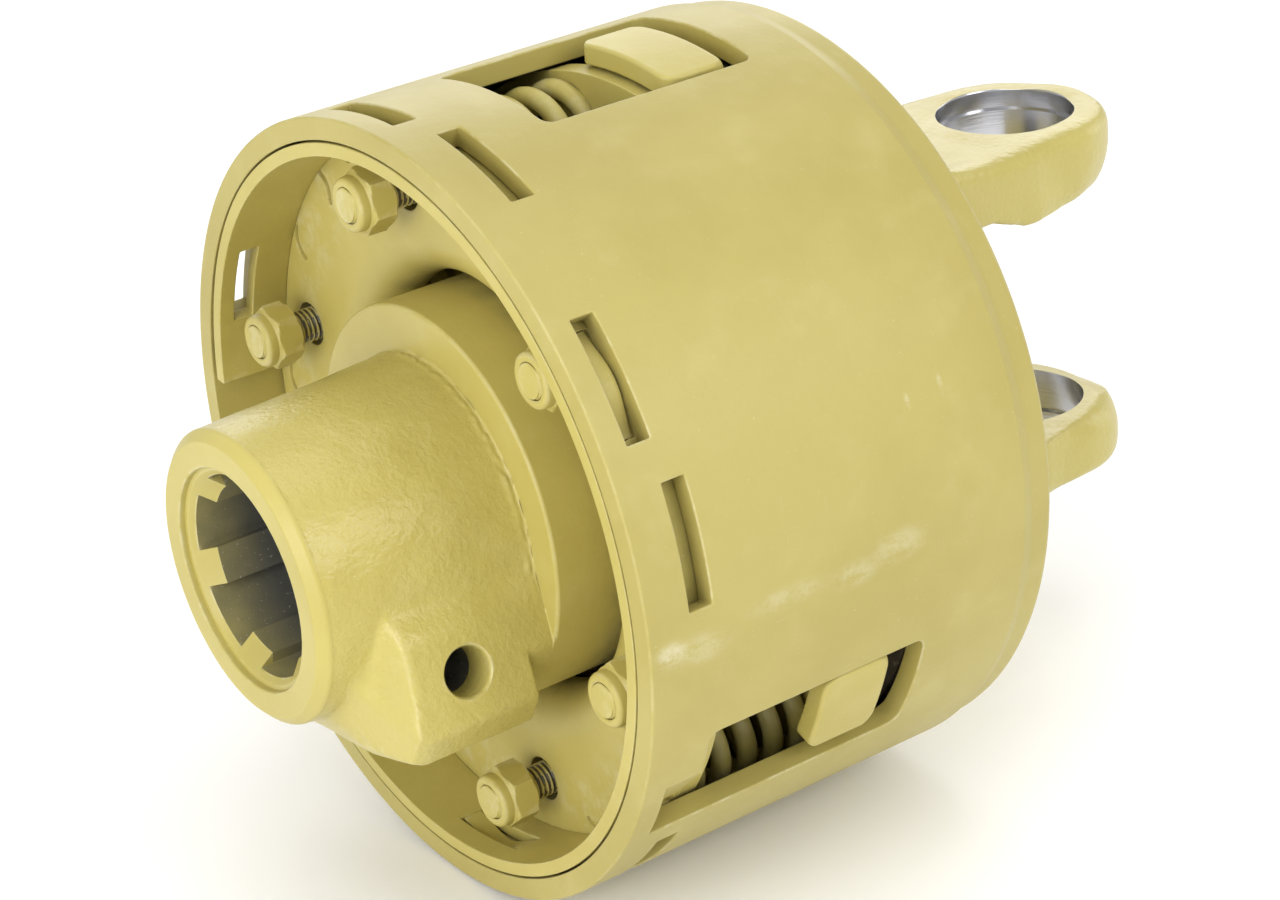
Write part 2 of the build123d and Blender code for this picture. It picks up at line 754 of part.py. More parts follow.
# Coil springs with ground ends
spring_front = seat_front + spring_seat_gap
spring_rear = pressure_front - spring_seat_gap
spring_space = spring_rear - spring_front
spring_grinding = spring_wire * spring_ground_share
spring_pitch = (spring_space + 2 * spring_grinding) / spring_turns
with BuildPart() as coil_spring:
    with BuildLine() as coil:
        Helix(
            spring_pitch,
            spring_pitch * spring_turns,
            spring_mean_radius,
            center=(spring_front - spring_grinding, 0, 0),
            direction=(1, 0, 0),
        )
    with BuildSketch(Plane(coil.line @ 0, x_dir=(1, 0, 0), z_dir=coil.line % 0)):
        Circle(spring_wire / 2)
    sweep(is_frenet=True)
    with BuildSketch(section(spring_front)):
        Circle(spring_mean_radius + spring_wire)
    extrude(amount=spring_space, mode=Mode.INTERSECT)
# Every coil starts on the drum's side, clear of the spring plate's curled edge
coil_start = coil.line @ 0
start_angle = degrees(atan2(coil_start.Z, coil_start.Y))
for number, angle in enumerate(spring_angles, start=1):
    with BuildPart() as spring:
        with Locations(Location((0, *on_circle(stud_circle, angle)), (angle - start_angle, 0, 0))):
            add(coil_spring.part)
    finish(spring.part, f"spring_{number}")

# Studs and lock nuts
stud_front = shell_front + stud_setback
stud_rear = lining_1_front - spring_seat_gap
nut_front = stud_front + nut_setback
for number, angle in enumerate(stud_angles, start=1):
    middle = on_circle(stud_circle, angle)
    with BuildPart() as stud:
        with BuildSketch(section(stud_front)):
            with Locations(middle):
                Circle(stud_radius)
        extrude(amount=stud_rear - stud_front)
        chamfer(stud.edges().group_by(Axis.X)[0], stud_end_chamfer)
    finish(stud.part, f"stud_{number}")

    with BuildPart() as lock_nut:
        with BuildSketch(section(nut_front + nut_collar_height)):
            with Locations(middle):
                RegularPolygon(nut_across_flats / 2, 6, major_radius=False, rotation=angle)
        extrude(amount=nut_hex_height)
        with BuildSketch(section(nut_front)):
            with Locations(middle):
                Circle(nut_collar_radius)
        extrude(amount=nut_collar_height + cut_over)
        collar_edge = lock_nut.edges().group_by(Axis.X)[0]
        fillet(collar_edge, nut_collar_round)
        with BuildSketch(section(nut_front)):
            with Locations(middle):
                Circle(stud_radius + nut_thread_gap)
        extrude(amount=nut_collar_height + nut_hex_height, mode=Mode.SUBTRACT)
    finish(lock_nut.part, f"lock_nut_{number}")
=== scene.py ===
import math

import bmesh
import bpy
import numpy as np
from mathutils import Matrix, Vector
from mathutils.geometry import delaunay_2d_cdt


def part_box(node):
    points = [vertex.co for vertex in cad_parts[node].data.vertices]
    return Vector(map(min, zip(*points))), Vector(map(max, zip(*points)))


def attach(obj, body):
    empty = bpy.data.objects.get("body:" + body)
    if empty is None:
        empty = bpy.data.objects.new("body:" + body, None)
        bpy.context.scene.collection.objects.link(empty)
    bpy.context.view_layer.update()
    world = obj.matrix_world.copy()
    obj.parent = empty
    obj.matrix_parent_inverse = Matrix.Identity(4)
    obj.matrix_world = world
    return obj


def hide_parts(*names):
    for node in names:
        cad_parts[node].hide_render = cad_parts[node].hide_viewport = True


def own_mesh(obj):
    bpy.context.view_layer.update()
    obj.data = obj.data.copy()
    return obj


# Friction torque limiter with a flange yoke. Lengths are millimetres, turned into metres
# when a mesh is made. x runs along the shaft from the hub to the yoke, angles are in
# degrees from +Y towards +Z, and a station is a distance behind the drum's front rim.
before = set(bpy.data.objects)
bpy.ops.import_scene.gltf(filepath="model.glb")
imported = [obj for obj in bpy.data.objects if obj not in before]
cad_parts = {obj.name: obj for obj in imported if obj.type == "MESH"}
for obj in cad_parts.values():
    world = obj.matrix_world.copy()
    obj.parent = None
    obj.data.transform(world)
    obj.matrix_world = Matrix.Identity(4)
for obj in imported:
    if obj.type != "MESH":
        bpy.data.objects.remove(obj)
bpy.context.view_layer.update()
MM = 0.001


def box_mm(node):
    """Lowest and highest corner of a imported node, in millimetres."""
    low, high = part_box(node)
    return [c / MM for c in low], [c / MM for c in high]


# Stations and radii read from the imported solids
drum_low, drum_high = box_mm("clutch_housing")
hub_low, hub_high = box_mm("hub")
ring_low, ring_high = box_mm("retaining_ring")
plate_low, plate_high = box_mm("spring_plate")
yoke_low, yoke_high = box_mm("flange_yoke")
spring_low, spring_high = box_mm("spring_1")
stud_low, stud_high = box_mm("stud_1")
nut_low, nut_high = box_mm("lock_nut_1")
bush_low, bush_high = box_mm("centring_bush")
FRONT, REAR = drum_low[0], drum_high[0]
SHELL = drum_high[1]
HUB_FACE = hub_low[0]
PLATE_RADIUS = plate_high[1]

# Drum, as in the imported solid; a window is (across, start, end) in stations
SHELL_WALL = 5.0
SHELL_INNER = SHELL - SHELL_WALL
SHELL_LENGTH = REAR - FRONT
LIP = 2.2
YOKE_SEAT = SHELL_INNER + 1.5
SLOT_ACROSS = 26.5
SLOT_WIDTH = 5.4
SLOT_CORNER = 0.3
SLOT_PLAY = 0.35
FRONT_SLOT = 6.0
SECOND_SLOT = 10.5
FRONT_SLOT_ANGLES = [84.6, 144.6, 264.6, 324.6]
OPEN_SLOT_ANGLE = 24.6
SECOND_SLOT_ANGLES = [108.0 + 60 * i for i in range(6)]
UPPER_ANGLES = [91.3, 271.3]
STRIP_ANGLE, PLAIN_ANGLE = 205.8, 25.8
UPPER_WINDOW = (40.9, 31.4, 84.15)
LOWER_WINDOW = (26.9, 15.0, 71.15)
WINDOW_CORNER = 2.5
STRIP_ACROSS = 16.0
STRIP_BEND = 24.0
STRIP_LENGTH = 13.7

# Tabs of the two plates: (across, length, heel), and their free play in a window
PRESSURE_TAB, PRESSURE_PLAY = (21.4, 20.8, 3.0), 0.4
MIDDLE_TAB, MIDDLE_PLAY = (32.0, 21.4, 5.2), 3.0

# Springs, studs and bores
STUD_CIRCLE = 67.5
STUD_ANGLES = [18.0 + 60 * i for i in range(6)]
SPRING_ANGLES = [18.0 + 30 * i for i in range(12)]
BORE_RADIUS = 16.0

# Material zones of the hub's and the ears' meshes
CAST, TURNED, BORE = 0, 1, 2


# Mesh tools
def polar(radius, angle):
    """Point (y, z) at a radius and an angle."""
    return (radius * math.cos(math.radians(angle)), radius * math.sin(math.radians(angle)))


def columns(count, first=0.0):
    """Equally spaced angles of a full turn."""
    return first + np.arange(count) * 360.0 / count


class Shape:
    """Points, faces and material zones of one piece, gathered in millimetres."""

    def __init__(self):
        self.points = []
        self.faces = []
        self.zones = []

    def add(self, points):
        first = len(self.points)
        self.points.extend([tuple(float(c) for c in p) for p in points])
        return list(range(first, first + len(points)))

    def ring(self, x, radii, angles, centre=(0.0, 0.0)):
        """Loop of points at one place along x; radii is one number or one for each angle."""
        spots = [polar(r, a) for r, a in zip(np.broadcast_to(radii, len(angles)), angles)]
        return self.add([(x, centre[0] + y, centre[1] + z) for y, z in spots])

    def face(self, corners, zone=0):
        self.faces.append(tuple(corners))
        self.zones.append(zone)

    def strip(self, loops, zone=0, closed=True):
        """Quads between neighbouring loops; zone may be a list with one value per strip."""
        for step, (lower, upper) in enumerate(zip(loops, loops[1:])):
            here = zone[step] if isinstance(zone, list) else zone
            count = len(lower)
            for i in range(count if closed else count - 1):
                j = (i + 1) % count
                self.face((lower[i], lower[j], upper[j], upper[i]), here)

    def tube(self, loops, zone=0, cap=0):
        """Strip between loops, with a face over either end."""
        self.strip(loops, zone)
        self.face(loops[0], cap)
        self.face(loops[-1], cap)

    def lathe(self, profile, angles, zone=0, closed=False):
        """Turn a profile of (x, radius) about the shaft."""
        loops = [self.ring(x, radius, angles) for x, radius in profile]
        self.strip(loops + loops[:1] if closed else loops, zone)

    def middle(self, face):
        """Middle of a face: its place along x and its distance from the shaft."""
        x, y, z = np.mean([self.points[k] for k in face], axis=0)
        return x, math.hypot(y, z)


def round_path(corners, closed=True, steps=3):
    """Path through corners (x, y, radius), each corner turned into an arc."""
    path = []
    count = len(corners)
    for i, (x, y, radius) in enumerate(corners):
        ends = not closed and i in (0, count - 1)
        here = np.array([x, y], float)
        if ends or radius <= 0:
            path.append((x, y))
            continue
        before = np.array(corners[i - 1][:2], float) - here
        after = np.array(corners[(i + 1) % count][:2], float) - here
        long_before, long_after = np.linalg.norm(before), np.linalg.norm(after)
        before, after = before / long_before, after / long_after
        half = math.acos(max(-1.0, min(1.0, float(before @ after)))) / 2
        if half > math.radians(89.5):
            path.append((x, y))
            continue
        reach = min(radius / math.tan(half), 0.49 * long_before, 0.49 * long_after)
        size = reach * math.tan(half)
        middle = here + (before + after) / np.linalg.norm(before + after) * size / math.sin(half)
        start, stop = here + before * reach - middle, here + after * reach - middle
        turn = math.atan2(start[0] * stop[1] - start[1] * stop[0], float(start @ stop))
        for k in range(steps + 1):
            a = turn * k / steps
            spun = (
                middle[0] + start[0] * math.cos(a) - start[1] * math.sin(a),
                middle[1] + start[0] * math.sin(a) + start[1] * math.cos(a),
            )
            path.append(spun)
    return path


def rim_path(start, end, radius, flat, edge):
    """Path (x, radius) round a rim with two rounded edges, from and back to a flat face's radius."""
    corners = [(start, flat, 0), (start, radius, edge), (end, radius, edge), (end, flat, 0)]
    return round_path(corners, closed=False)


def divide(outline, longest):
    """Closed outline with extra points so that no side is longer than a length."""
    result = []
    for i, point in enumerate(outline):
        a, b = np.array(point), np.array(outline[(i + 1) % len(outline)])
        parts = max(1, int(math.ceil(np.linalg.norm(b - a) / longest)))
        result.extend([tuple(a + (b - a) * k / parts) for k in range(parts)])
    return result


def grow(outline, distance):
    """Closed outline moved outwards by a distance, with mitred corners."""
    points = np.array(outline, float)
    area = np.sum(points[:, 0] * np.roll(points[:, 1], -1) - np.roll(points[:, 0], -1) * points[:, 1])
    way = 1.0 if area > 0 else -1.0
    before = points - np.roll(points, 1, axis=0)
    after = np.roll(points, -1, axis=0) - points
    before /= np.linalg.norm(before, axis=1)[:, None]
    after /= np.linalg.norm(after, axis=1)[:, None]
    out_before = np.stack([before[:, 1], -before[:, 0]], axis=1) * way
    out_after = np.stack([after[:, 1], -after[:, 0]], axis=1) * way
    middle = out_before + out_after
    middle /= np.linalg.norm(middle, axis=1)[:, None]
    reach = distance / np.clip(np.sum(middle * out_before, axis=1), 0.3, 1.0)
    return points + middle * reach[:, None]


def inside(points, outline):
    """Which points lie inside a closed outline."""
    outline = np.array(outline, float)
    px, py = points[:, 0], points[:, 1]
    result = np.zeros(len(points), bool)
    for (ax, ay), (bx, by) in zip(outline, np.roll(outline, -1, axis=0)):
        crosses = (ay > py) != (by > py)
        rise = by - ay if abs(by - ay) > 1e-12 else 1e-12
        result ^= crosses & (px < (bx - ax) * (py - ay) / rise + ax)
    return result


def fill(points, rims, voids):
    """Triangles over flat points, inside the first rim and outside every void."""
    sides = [(rim[i], rim[(i + 1) % len(rim)]) for rim in rims for i in range(len(rim))]
    flat = [Vector(p) for p in points]
    spots, _, faces, origin, _, _ = delaunay_2d_cdt(flat, sides, [], 0, 1e-7)
    lost = [tuple(round(c, 3) for c in spots[n]) for n, o in enumerate(origin) if not o]
    if lost:
        raise ValueError(f"outlines cross near {lost[:6]}")
    index = [o[0] for o in origin]
    found = np.array([[index[k] for k in face] for face in faces])
    middles = np.array(points)[found].mean(axis=1)
    keep = inside(middles, [points[k] for k in rims[0]])
    for void in voids:
        keep &= ~inside(middles, [points[k] for k in void])
    return [tuple(int(k) for k in face) for face in found[keep]]


def cover(shape, rims, zone=0):
    """Fill a flat face square to the shaft, inside the first rim and outside the others."""
    picked = [k for rim in rims for k in rim]
    place = {k: n for n, k in enumerate(picked)}
    local = [[place[k] for k in rim] for rim in rims]
    for face in fill([shape.points[k][1:] for k in picked], local, local[1:]):
        shape.face([picked[k] for k in face], zone)


def edge_rows(length, edge, steps=3):
    """Rows (place, inset) along a bar whose two ends have rounded edges."""
    arc = [math.radians(90 * k / steps) for k in range(steps + 1)]
    start = [(edge * (1 - math.sin(a)), edge * (1 - math.cos(a))) for a in reversed(arc)]
    stop = [(length - place, inset) for place, inset in reversed(start)]
    return start + stop


def slab(shape, outline, rows, place):
    """Closed solid from a flat outline: rows of (distance, inset), placed in space."""
    loops = []
    for distance, inset in rows:
        moved = grow(outline, -inset) if inset else np.array(outline, float)
        loops.append(shape.add([place(u, v, distance) for u, v in moved]))
    shape.tube(loops)


def ripple(points, longest, shortest, seed, count=36):
    """Smooth unevenness of about -1 to 1 at each point, from a set of sine waves."""
    random = np.random.default_rng(seed)
    way = random.normal(size=(count, 3))
    way /= np.linalg.norm(way, axis=1)[:, None]
    waves = 2 * math.pi / random.uniform(shortest, longest, count)
    phase = random.uniform(0, 2 * math.pi, count)
    total = np.sin((np.array(points) @ way.T) * waves + phase).sum(axis=1)
    return total / math.sqrt(count / 2)


def clean_mesh(name, shape, materials):
    """Mesh of a shape with doubled points joined and faces turned outwards."""
    mesh = bpy.data.meshes.new(name)
    mesh.from_pydata([[c * MM for c in p] for p in shape.points], [], shape.faces)
    for material in materials:
        mesh.materials.append(material)
    mesh.polygons.foreach_set("material_index", shape.zones)
    bm = bmesh.new()
    bm.from_mesh(mesh)
    bmesh.ops.remove_doubles(bm, verts=bm.verts, dist=0.002 * MM)
    bmesh.ops.dissolve_degenerate(bm, edges=bm.edges, dist=0.001 * MM)
    bmesh.ops.recalc_face_normals(bm, faces=bm.faces)
    bm.to_mesh(mesh)
    bm.free()
    return mesh


def baked(obj):
    """Mesh of an object with its modifiers worked out."""
    bpy.context.view_layer.update()
    depsgraph = bpy.context.evaluated_depsgraph_get()
    return bpy.data.meshes.new_from_object(obj.evaluated_get(depsgraph))


def link(obj):
    bpy.context.scene.collection.objects.link(obj)
    return obj


def cut_mesh(mesh, cutters):
    """Mesh with closed cutter meshes taken out of it."""
    target = link(bpy.data.objects.new("cut_target", mesh))
    tools = []
    for number, cutter in enumerate(cutters):
        tool = link(bpy.data.objects.new(f"cut_tool_{number}", cutter))
        step = target.modifiers.new("cut", "BOOLEAN")
        step.operation = "DIFFERENCE"
        step.solver = "EXACT"
        step.object = tool
        tools.append(tool)
    result = baked(target)
    for obj in tools + [target]:
        bpy.data.objects.remove(obj)
    return result


def mark_edges(mesh):
    """Store how much each point stands on an outer edge, for worn paint."""
    bm = bmesh.new()
    bm.from_mesh(mesh)
    layer = bm.verts.layers.float.new("edge")
    for edge in bm.edges:
        if len(edge.link_faces) == 2:
            turn = edge.calc_face_angle_signed(0.0)
            for vert in edge.verts:
                vert[layer] = max(vert[layer], min(1.0, turn / math.radians(40)))
    bm.to_mesh(mesh)
    bm.free()


def add_piece(name, mesh, body, node, sharp=38.0):
    """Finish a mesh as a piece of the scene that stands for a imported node."""
    mark_edges(mesh)
    mesh.polygons.foreach_set("use_smooth", [True] * len(mesh.polygons))
    mesh.set_sharp_from_angle(angle=math.radians(sharp))
    mesh.name = name
    obj = link(bpy.data.objects.new(name, mesh))
    weights = obj.modifiers.new("weights", "WEIGHTED_NORMAL")
    weights.keep_sharp = True
    weights.weight = 80
    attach(obj, body)
    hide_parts(node)
    return obj


# Materials
class Nodes:
    """Short way to build a material's node tree."""

    def __init__(self, name):
        self.material = bpy.data.materials.new(name)
        self.material.use_nodes = True
        self.tree = self.material.node_tree
        self.shader = self.tree.nodes["Principled BSDF"]
        self.coords = self.new("ShaderNodeTexCoord", {}).outputs["Object"]

    def new(self, kind, inputs, **settings):
        """Node with its inputs, by name or number, and its settings."""
        node = self.tree.nodes.new(kind)
        for key, value in settings.items():
            setattr(node, key, value)
        for key, value in inputs.items():
            self.put(node.inputs[key], value)
        return node

    def put(self, socket, value):
        if hasattr(value, "is_linked"):
            self.tree.links.new(value, socket)
        else:
            socket.default_value = value

    def math(self, operation, a, b=0.0, clamp=False):
        return self.new("ShaderNodeMath", {0: a, 1: b}, operation=operation, use_clamp=clamp).outputs[0]

    def times(self, a, b):
        return self.math("MULTIPLY", a, b)

    def about(self, base, value, span):
        """A base number, raised by a value times a span."""
        return self.math("ADD", base, self.times(value, span))

    def noise(self, scale, detail=3.0, rough=0.55, coords=None, distort=0.0):
        inputs = {"Vector": coords or self.coords, "Scale": scale, "Detail": detail}
        inputs.update(Roughness=rough, Distortion=distort)
        return self.new("ShaderNodeTexNoise", inputs).outputs["Fac"]

    def window(self, value, low, high):
        """0 below low, 1 above high, smooth between."""
        inputs = {"Value": value, "From Min": low, "From Max": high}
        return self.new("ShaderNodeMapRange", inputs, interpolation_type="SMOOTHSTEP").outputs["Result"]

    def patches(self, low, high, *noise, **settings):
        """Soft-edged patches where a noise rises from low to high."""
        return self.window(self.noise(*noise, **settings), low, high)

    def mix(self, share, a, b):
        node = self.new("ShaderNodeMix", {"Factor": share}, data_type="RGBA")
        sockets = [s for s in node.inputs if s.type == "RGBA"]
        self.put(sockets[0], a)
        self.put(sockets[1], b)
        return [s for s in node.outputs if s.type == "RGBA"][0]

    def over(self, colour, mask, share, tint):
        """Colour with a share of a tint laid over it where the mask is."""
        return self.mix(self.times(mask, share), colour, tint)

    def stretch(self, scale=(1, 1, 1), turn=0.0, move=(0.0, 0.0, 0.0), coords=None):
        """Coordinates moved, turned about z in degrees and scaled."""
        turned = (0.0, 0.0, math.radians(turn))
        inputs = {"Vector": coords or self.coords, "Location": move, "Rotation": turned, "Scale": scale}
        return self.new("ShaderNodeMapping", inputs, vector_type="POINT").outputs["Vector"]

    def split(self):
        return self.new("ShaderNodeSeparateXYZ", {0: self.coords}).outputs

    def unrolled(self, radius):
        """Coordinates (x, arc length from 180 degrees, distance from the axis)."""
        x, y, z = self.split()
        arc = self.times(self.math("ARCTAN2", self.times(z, -1.0), self.times(y, -1.0)), radius)
        out = self.math("SQRT", self.math("ADD", self.times(y, y), self.times(z, z)))
        return self.new("ShaderNodeCombineXYZ", {0: x, 1: arc, 2: out}).outputs[0]

    def spot(self, centre, size, coords):
        """1 at a place, falling to 0 at the given reach along each axis, in metres."""
        move = [-c / s for c, s in zip(centre, size)]
        inputs = {"Vector": self.stretch([1 / s for s in size], move=move, coords=coords)}
        return self.new("ShaderNodeTexGradient", inputs, gradient_type="SPHERICAL").outputs["Fac"]

    def bump(self, height, distance, strength=1.0, under=None):
        inputs = {"Height": height, "Distance": distance, "Strength": strength}
        if under is not None:
            inputs["Normal"] = under
        return self.new("ShaderNodeBump", inputs).outputs["Normal"]

    def edge(self):
        settings = {"attribute_name": "edge", "attribute_type": "GEOMETRY"}
        return self.new("ShaderNodeAttribute", {}, **settings).outputs["Fac"]

    def finish(self, colour, rough, normal=None, metal=0.0):
        self.put(self.shader.inputs["Base Color"], colour)
        self.put(self.shader.inputs["Roughness"], rough)
        self.put(self.shader.inputs["Metallic"], metal)
        if normal is not None:
            self.put(self.shader.inputs["Normal"], normal)
        return self.material


OLIVE = (0.500, 0.425, 0.118, 1.0)
OLIVE_DEEP = (0.455, 0.380, 0.096, 1.0)
OLIVE_PALE = (0.620, 0.555, 0.270, 1.0)
OLIVE_DUST_AND_SHEEN = (0.660, 0.620, 0.420, 1.0)
GRIME_AND_SHADE = (0.145, 0.125, 0.070, 1.0)
DRUM_OLIVE = (0.440, 0.372, 0.108, 1.0)
DRUM_DEEP = (0.402, 0.334, 0.088, 1.0)


def paint(name, texture, wear=0.30, dust=0.25, dust_and_sheen_marks=(), scratches=0.0, coats=(OLIVE, OLIVE_DEEP)):
    """Olive paint; the texture is cast, sheet or turned."""
    n = Nodes(name)
    colour = n.mix(n.patches(0.35, 0.65, 22.0, 4.0), *coats)
    cloud = n.patches(0.52, 0.78, 70.0, 3.0, coords=n.stretch(move=(3, 7, 1)))
    colour = n.over(colour, cloud, 0.16, OLIVE_PALE)
    # Fine dust specks and paint nibs
    colour = n.over(colour, n.patches(0.74, 0.80, 1500.0, 1.0, 0.4), dust, OLIVE_DUST_AND_SHEEN)
    # Dirt and painted shade in corners and recesses, darkest where the ambient occlusion is deepest
    hollow = n.new("ShaderNodeAmbientOcclusion", {"Distance": 0.006}, samples=6, only_local=False)
    deep = n.math("SUBTRACT", 1.0, n.window(hollow.outputs["AO"], 0.15, 0.75))
    colour = n.over(colour, n.times(deep, n.patches(0.30, 0.70, 180.0, 4.0)), 0.45, GRIME_AND_SHADE)
    # Paint rubbed thin along outer edges
    patchy = n.patches(0.42, 0.62, 140.0, 5.0, 0.7)
    colour = n.over(colour, n.times(n.window(n.edge(), 0.35, 0.85), patchy), wear, OLIVE_DUST_AND_SHEEN)
    gloss = {"cast": 0.25, "turned": 0.32, "sheet": 0.38}[texture]
    rough = n.about(gloss, n.noise(60.0, 3.0), 0.16)
    around = n.unrolled(SHELL * MM)
    # Pale marks of dust, which on the drum also paint a highlight band along its side
    for centre, size, strength in dust_and_sheen_marks:
        coords = n.stretch((0.7, 1, 1), coords=around)
        ragged = n.patches(0.36, 0.62, 260.0, 6.0, 0.75, coords=coords)
        mark = n.times(n.window(n.spot(centre, size, around), 0.05, 0.75), ragged)
        colour = n.over(colour, mark, strength, OLIVE_DUST_AND_SHEEN)
    if scratches:
        # Two sets of thin crossing lines, here and there
        lines = []
        sets = [((2600, 55, 100), 24, 0.71, 3.0), ((90, 2200, 100), -15, 0.73, 2.0)]
        for scale, turn, low, detail in sets:
            coords = n.stretch(scale, turn, coords=around)
            lines.append(n.patches(low, low + 0.05, 1.0, detail, 0.6, coords=coords))
        near = n.patches(0.50, 0.64, 16.0, 2.0, coords=n.stretch(move=(9, 4, 2)))
        crossed = n.times(n.math("ADD", *lines, clamp=True), near)
        colour = n.over(colour, crossed, scratches, OLIVE_DUST_AND_SHEEN)
    if texture == "cast":
        swell = n.bump(n.noise(170.0, 3.0, 0.5), 0.00045, 0.6)
        normal = n.bump(n.noise(720.0, 2.0, 0.5, distort=0.3), 0.00024, 0.8, swell)
    elif texture == "turned":
        normal = n.bump(n.noise(520.0, 2.0, 0.5), 0.00009, 0.6)
    else:
        swell = n.bump(n.noise(34.0, 2.0, 0.4), 0.0006, 0.35)
        normal = n.bump(n.noise(520.0, 2.0, 0.5), 0.00010, 0.6, swell)
    return n.finish(colour, rough, normal)


def bore_film_and_shade(name):
    """Dull grey-olive overspray film with dust near the entry of the splined bore, fading deeper in to
    near-black steel that paints the shade inside it.
    """
    n = Nodes(name)
    depth_shade = n.window(n.split()[0], (HUB_FACE + 1.0) * MM, (HUB_FACE + 20.0) * MM)
    spray = n.mix(n.patches(0.35, 0.65, 90.0, 4.0), (0.36, 0.31, 0.12, 1), (0.27, 0.24, 0.11, 1))
    steel = n.mix(n.noise(160.0, 5.0), (0.060, 0.060, 0.050, 1), (0.13, 0.13, 0.115, 1))
    colour = n.mix(depth_shade, spray, steel)
    colour = n.over(colour, n.patches(0.70, 0.76, 1800.0, 1.0, 0.4), 0.5, (0.55, 0.54, 0.44, 1))
    normal = n.bump(n.noise(700.0, 3.0), 0.00008, 0.6)
    return n.finish(colour, n.about(0.42, n.noise(120.0), 0.2), normal, 0.15)


def bright_steel(name):
    """Turned steel with fine rings round the cross bore and a few stains."""
    n = Nodes(name)
    stain = n.patches(0.50, 0.72, 60.0, 5.0, 0.65, coords=n.stretch((1, 1, 0.6)))
    colour = n.mix(stain, (0.58, 0.58, 0.60, 1), (0.33, 0.32, 0.32, 1))
    normal = n.bump(n.noise(1.0, 2.0, 0.6, coords=n.stretch((60, 60, 5200))), 0.00003, 0.8)
    return n.finish(colour, n.about(0.22, stain, 0.25), normal, 1.0)


def dark_thread(name):
    """Dark zinc or phosphate stud steel with dust and paint specks."""
    n = Nodes(name)
    colour = n.mix(n.noise(240.0, 5.0), (0.055, 0.050, 0.042, 1), (0.16, 0.145, 0.10, 1))
    colour = n.over(colour, n.patches(0.58, 0.68, 500.0, 3.0), 0.55, OLIVE_DEEP)
    return n.finish(colour, 0.45, n.bump(n.noise(900.0, 3.0), 0.00006, 0.7), 0.5)


def lining(name):
    """Moulded friction lining: brown grey with brass chips and fibres."""
    n = Nodes(name)
    base = n.mix(n.noise(300.0, 6.0), (0.075, 0.062, 0.048, 1), (0.17, 0.145, 0.11, 1))
    colour = n.mix(n.patches(0.68, 0.74, 900.0, 2.0, 0.5), base, (0.48, 0.36, 0.16, 1))
    fibre = n.patches(0.66, 0.74, 1.0, 2.0, coords=n.stretch((1800, 260, 260), 35))
    colour = n.over(colour, fibre, 0.6, (0.30, 0.27, 0.22, 1))
    return n.finish(colour, 0.85, n.bump(n.noise(1100.0, 4.0), 0.0001, 0.8))


def plain_steel(name):
    """Ground plate steel with light rust blooms."""
    n = Nodes(name)
    bloom = n.patches(0.55, 0.75, 80.0, 6.0, 0.7)
    colour = n.mix(bloom, (0.34, 0.33, 0.32, 1), (0.20, 0.11, 0.06, 1))
    rings = n.noise(1.0, 2.0, coords=n.stretch((60, 2400, 60), coords=n.unrolled(0.06)))
    return n.finish(colour, n.about(0.35, bloom, 0.4), n.bump(rings, 0.00004, 0.6), 0.9)


def shade_dark_steel(name):
    """Near-black rolled steel with a thin mist of overspray, dark enough to paint the shade inside the
    drum and behind the plates.
    """
    n = Nodes(name)
    colour = n.mix(n.noise(130.0, 5.0), (0.030, 0.027, 0.020, 1), (0.085, 0.076, 0.054, 1))
    colour = n.over(colour, n.patches(0.55, 0.75, 420.0, 4.0, 0.7), 0.28, OLIVE_DEEP)
    return n.finish(colour, 0.58, n.bump(n.noise(650.0, 3.0), 0.00006, 0.6), 0.25)


def bronze(name):
    """Sintered bush bronze, oily and mottled."""
    n = Nodes(name)
    colour = n.mix(n.noise(420.0, 5.0), (0.32, 0.19, 0.075, 1), (0.20, 0.125, 0.06, 1))
    return n.finish(colour, 0.38, n.bump(n.noise(1500.0, 2.0), 0.00005, 0.8), 0.85)


def dust_and_sheen_mark(station, angle, half_length, half_across, strength):
    """Pale mark on the drum: dust, and in the band near 180 degrees also a painted highlight; its place
    and reach in unrolled coordinates, in metres.
    """
    place = ((FRONT + station) * MM, math.radians(angle - 180) * SHELL * MM, SHELL * MM)
    return (place, (half_length * MM, half_across * MM, 0.05), strength)


# Pale marks: those near 180 degrees paint dust together with a highlight band along the drum's side, the
# two near 161 degrees are small pale marks
DRUM_DUST_AND_SHEEN = [
    dust_and_sheen_mark(4.8, 181.2, 5.2, 3.4, 0.60),
    dust_and_sheen_mark(11.5, 182.3, 12.0, 5.0, 0.30),
    dust_and_sheen_mark(34.0, 180.2, 14.0, 3.6, 0.28),
    dust_and_sheen_mark(51.0, 181.0, 9.0, 4.2, 0.32),
    dust_and_sheen_mark(63.0, 179.6, 10.0, 5.2, 0.32),
    dust_and_sheen_mark(71.0, 161.0, 0.9, 2.6, 0.45),
    dust_and_sheen_mark(80.0, 160.6, 1.0, 3.0, 0.45),
]
DRUM_COATS = (DRUM_OLIVE, DRUM_DEEP)
cast_paint = paint("cast_paint", "cast")
turned_paint = paint("turned_paint", "turned", wear=0.35, scratches=0.15)
drum_paint = paint("drum_paint", "sheet", 0.40, dust_and_sheen_marks=DRUM_DUST_AND_SHEEN, scratches=0.25, coats=DRUM_COATS)
sheet_paint = paint("sheet_paint", "sheet")
small_paint = paint("small_paint", "turned", dust=0.20)
bore_paint_and_shade = bore_film_and_shade("bore_paint_and_shade")
steel_bore = bright_steel("steel_bore")
thread_steel = dark_thread("thread_steel")
lining_mix = lining("lining_mix")
plate_steel = plain_steel("plate_steel")
bush_bronze = bronze("bush_bronze")
shade_dark_inside = shade_dark_steel("shade_dark_inside")


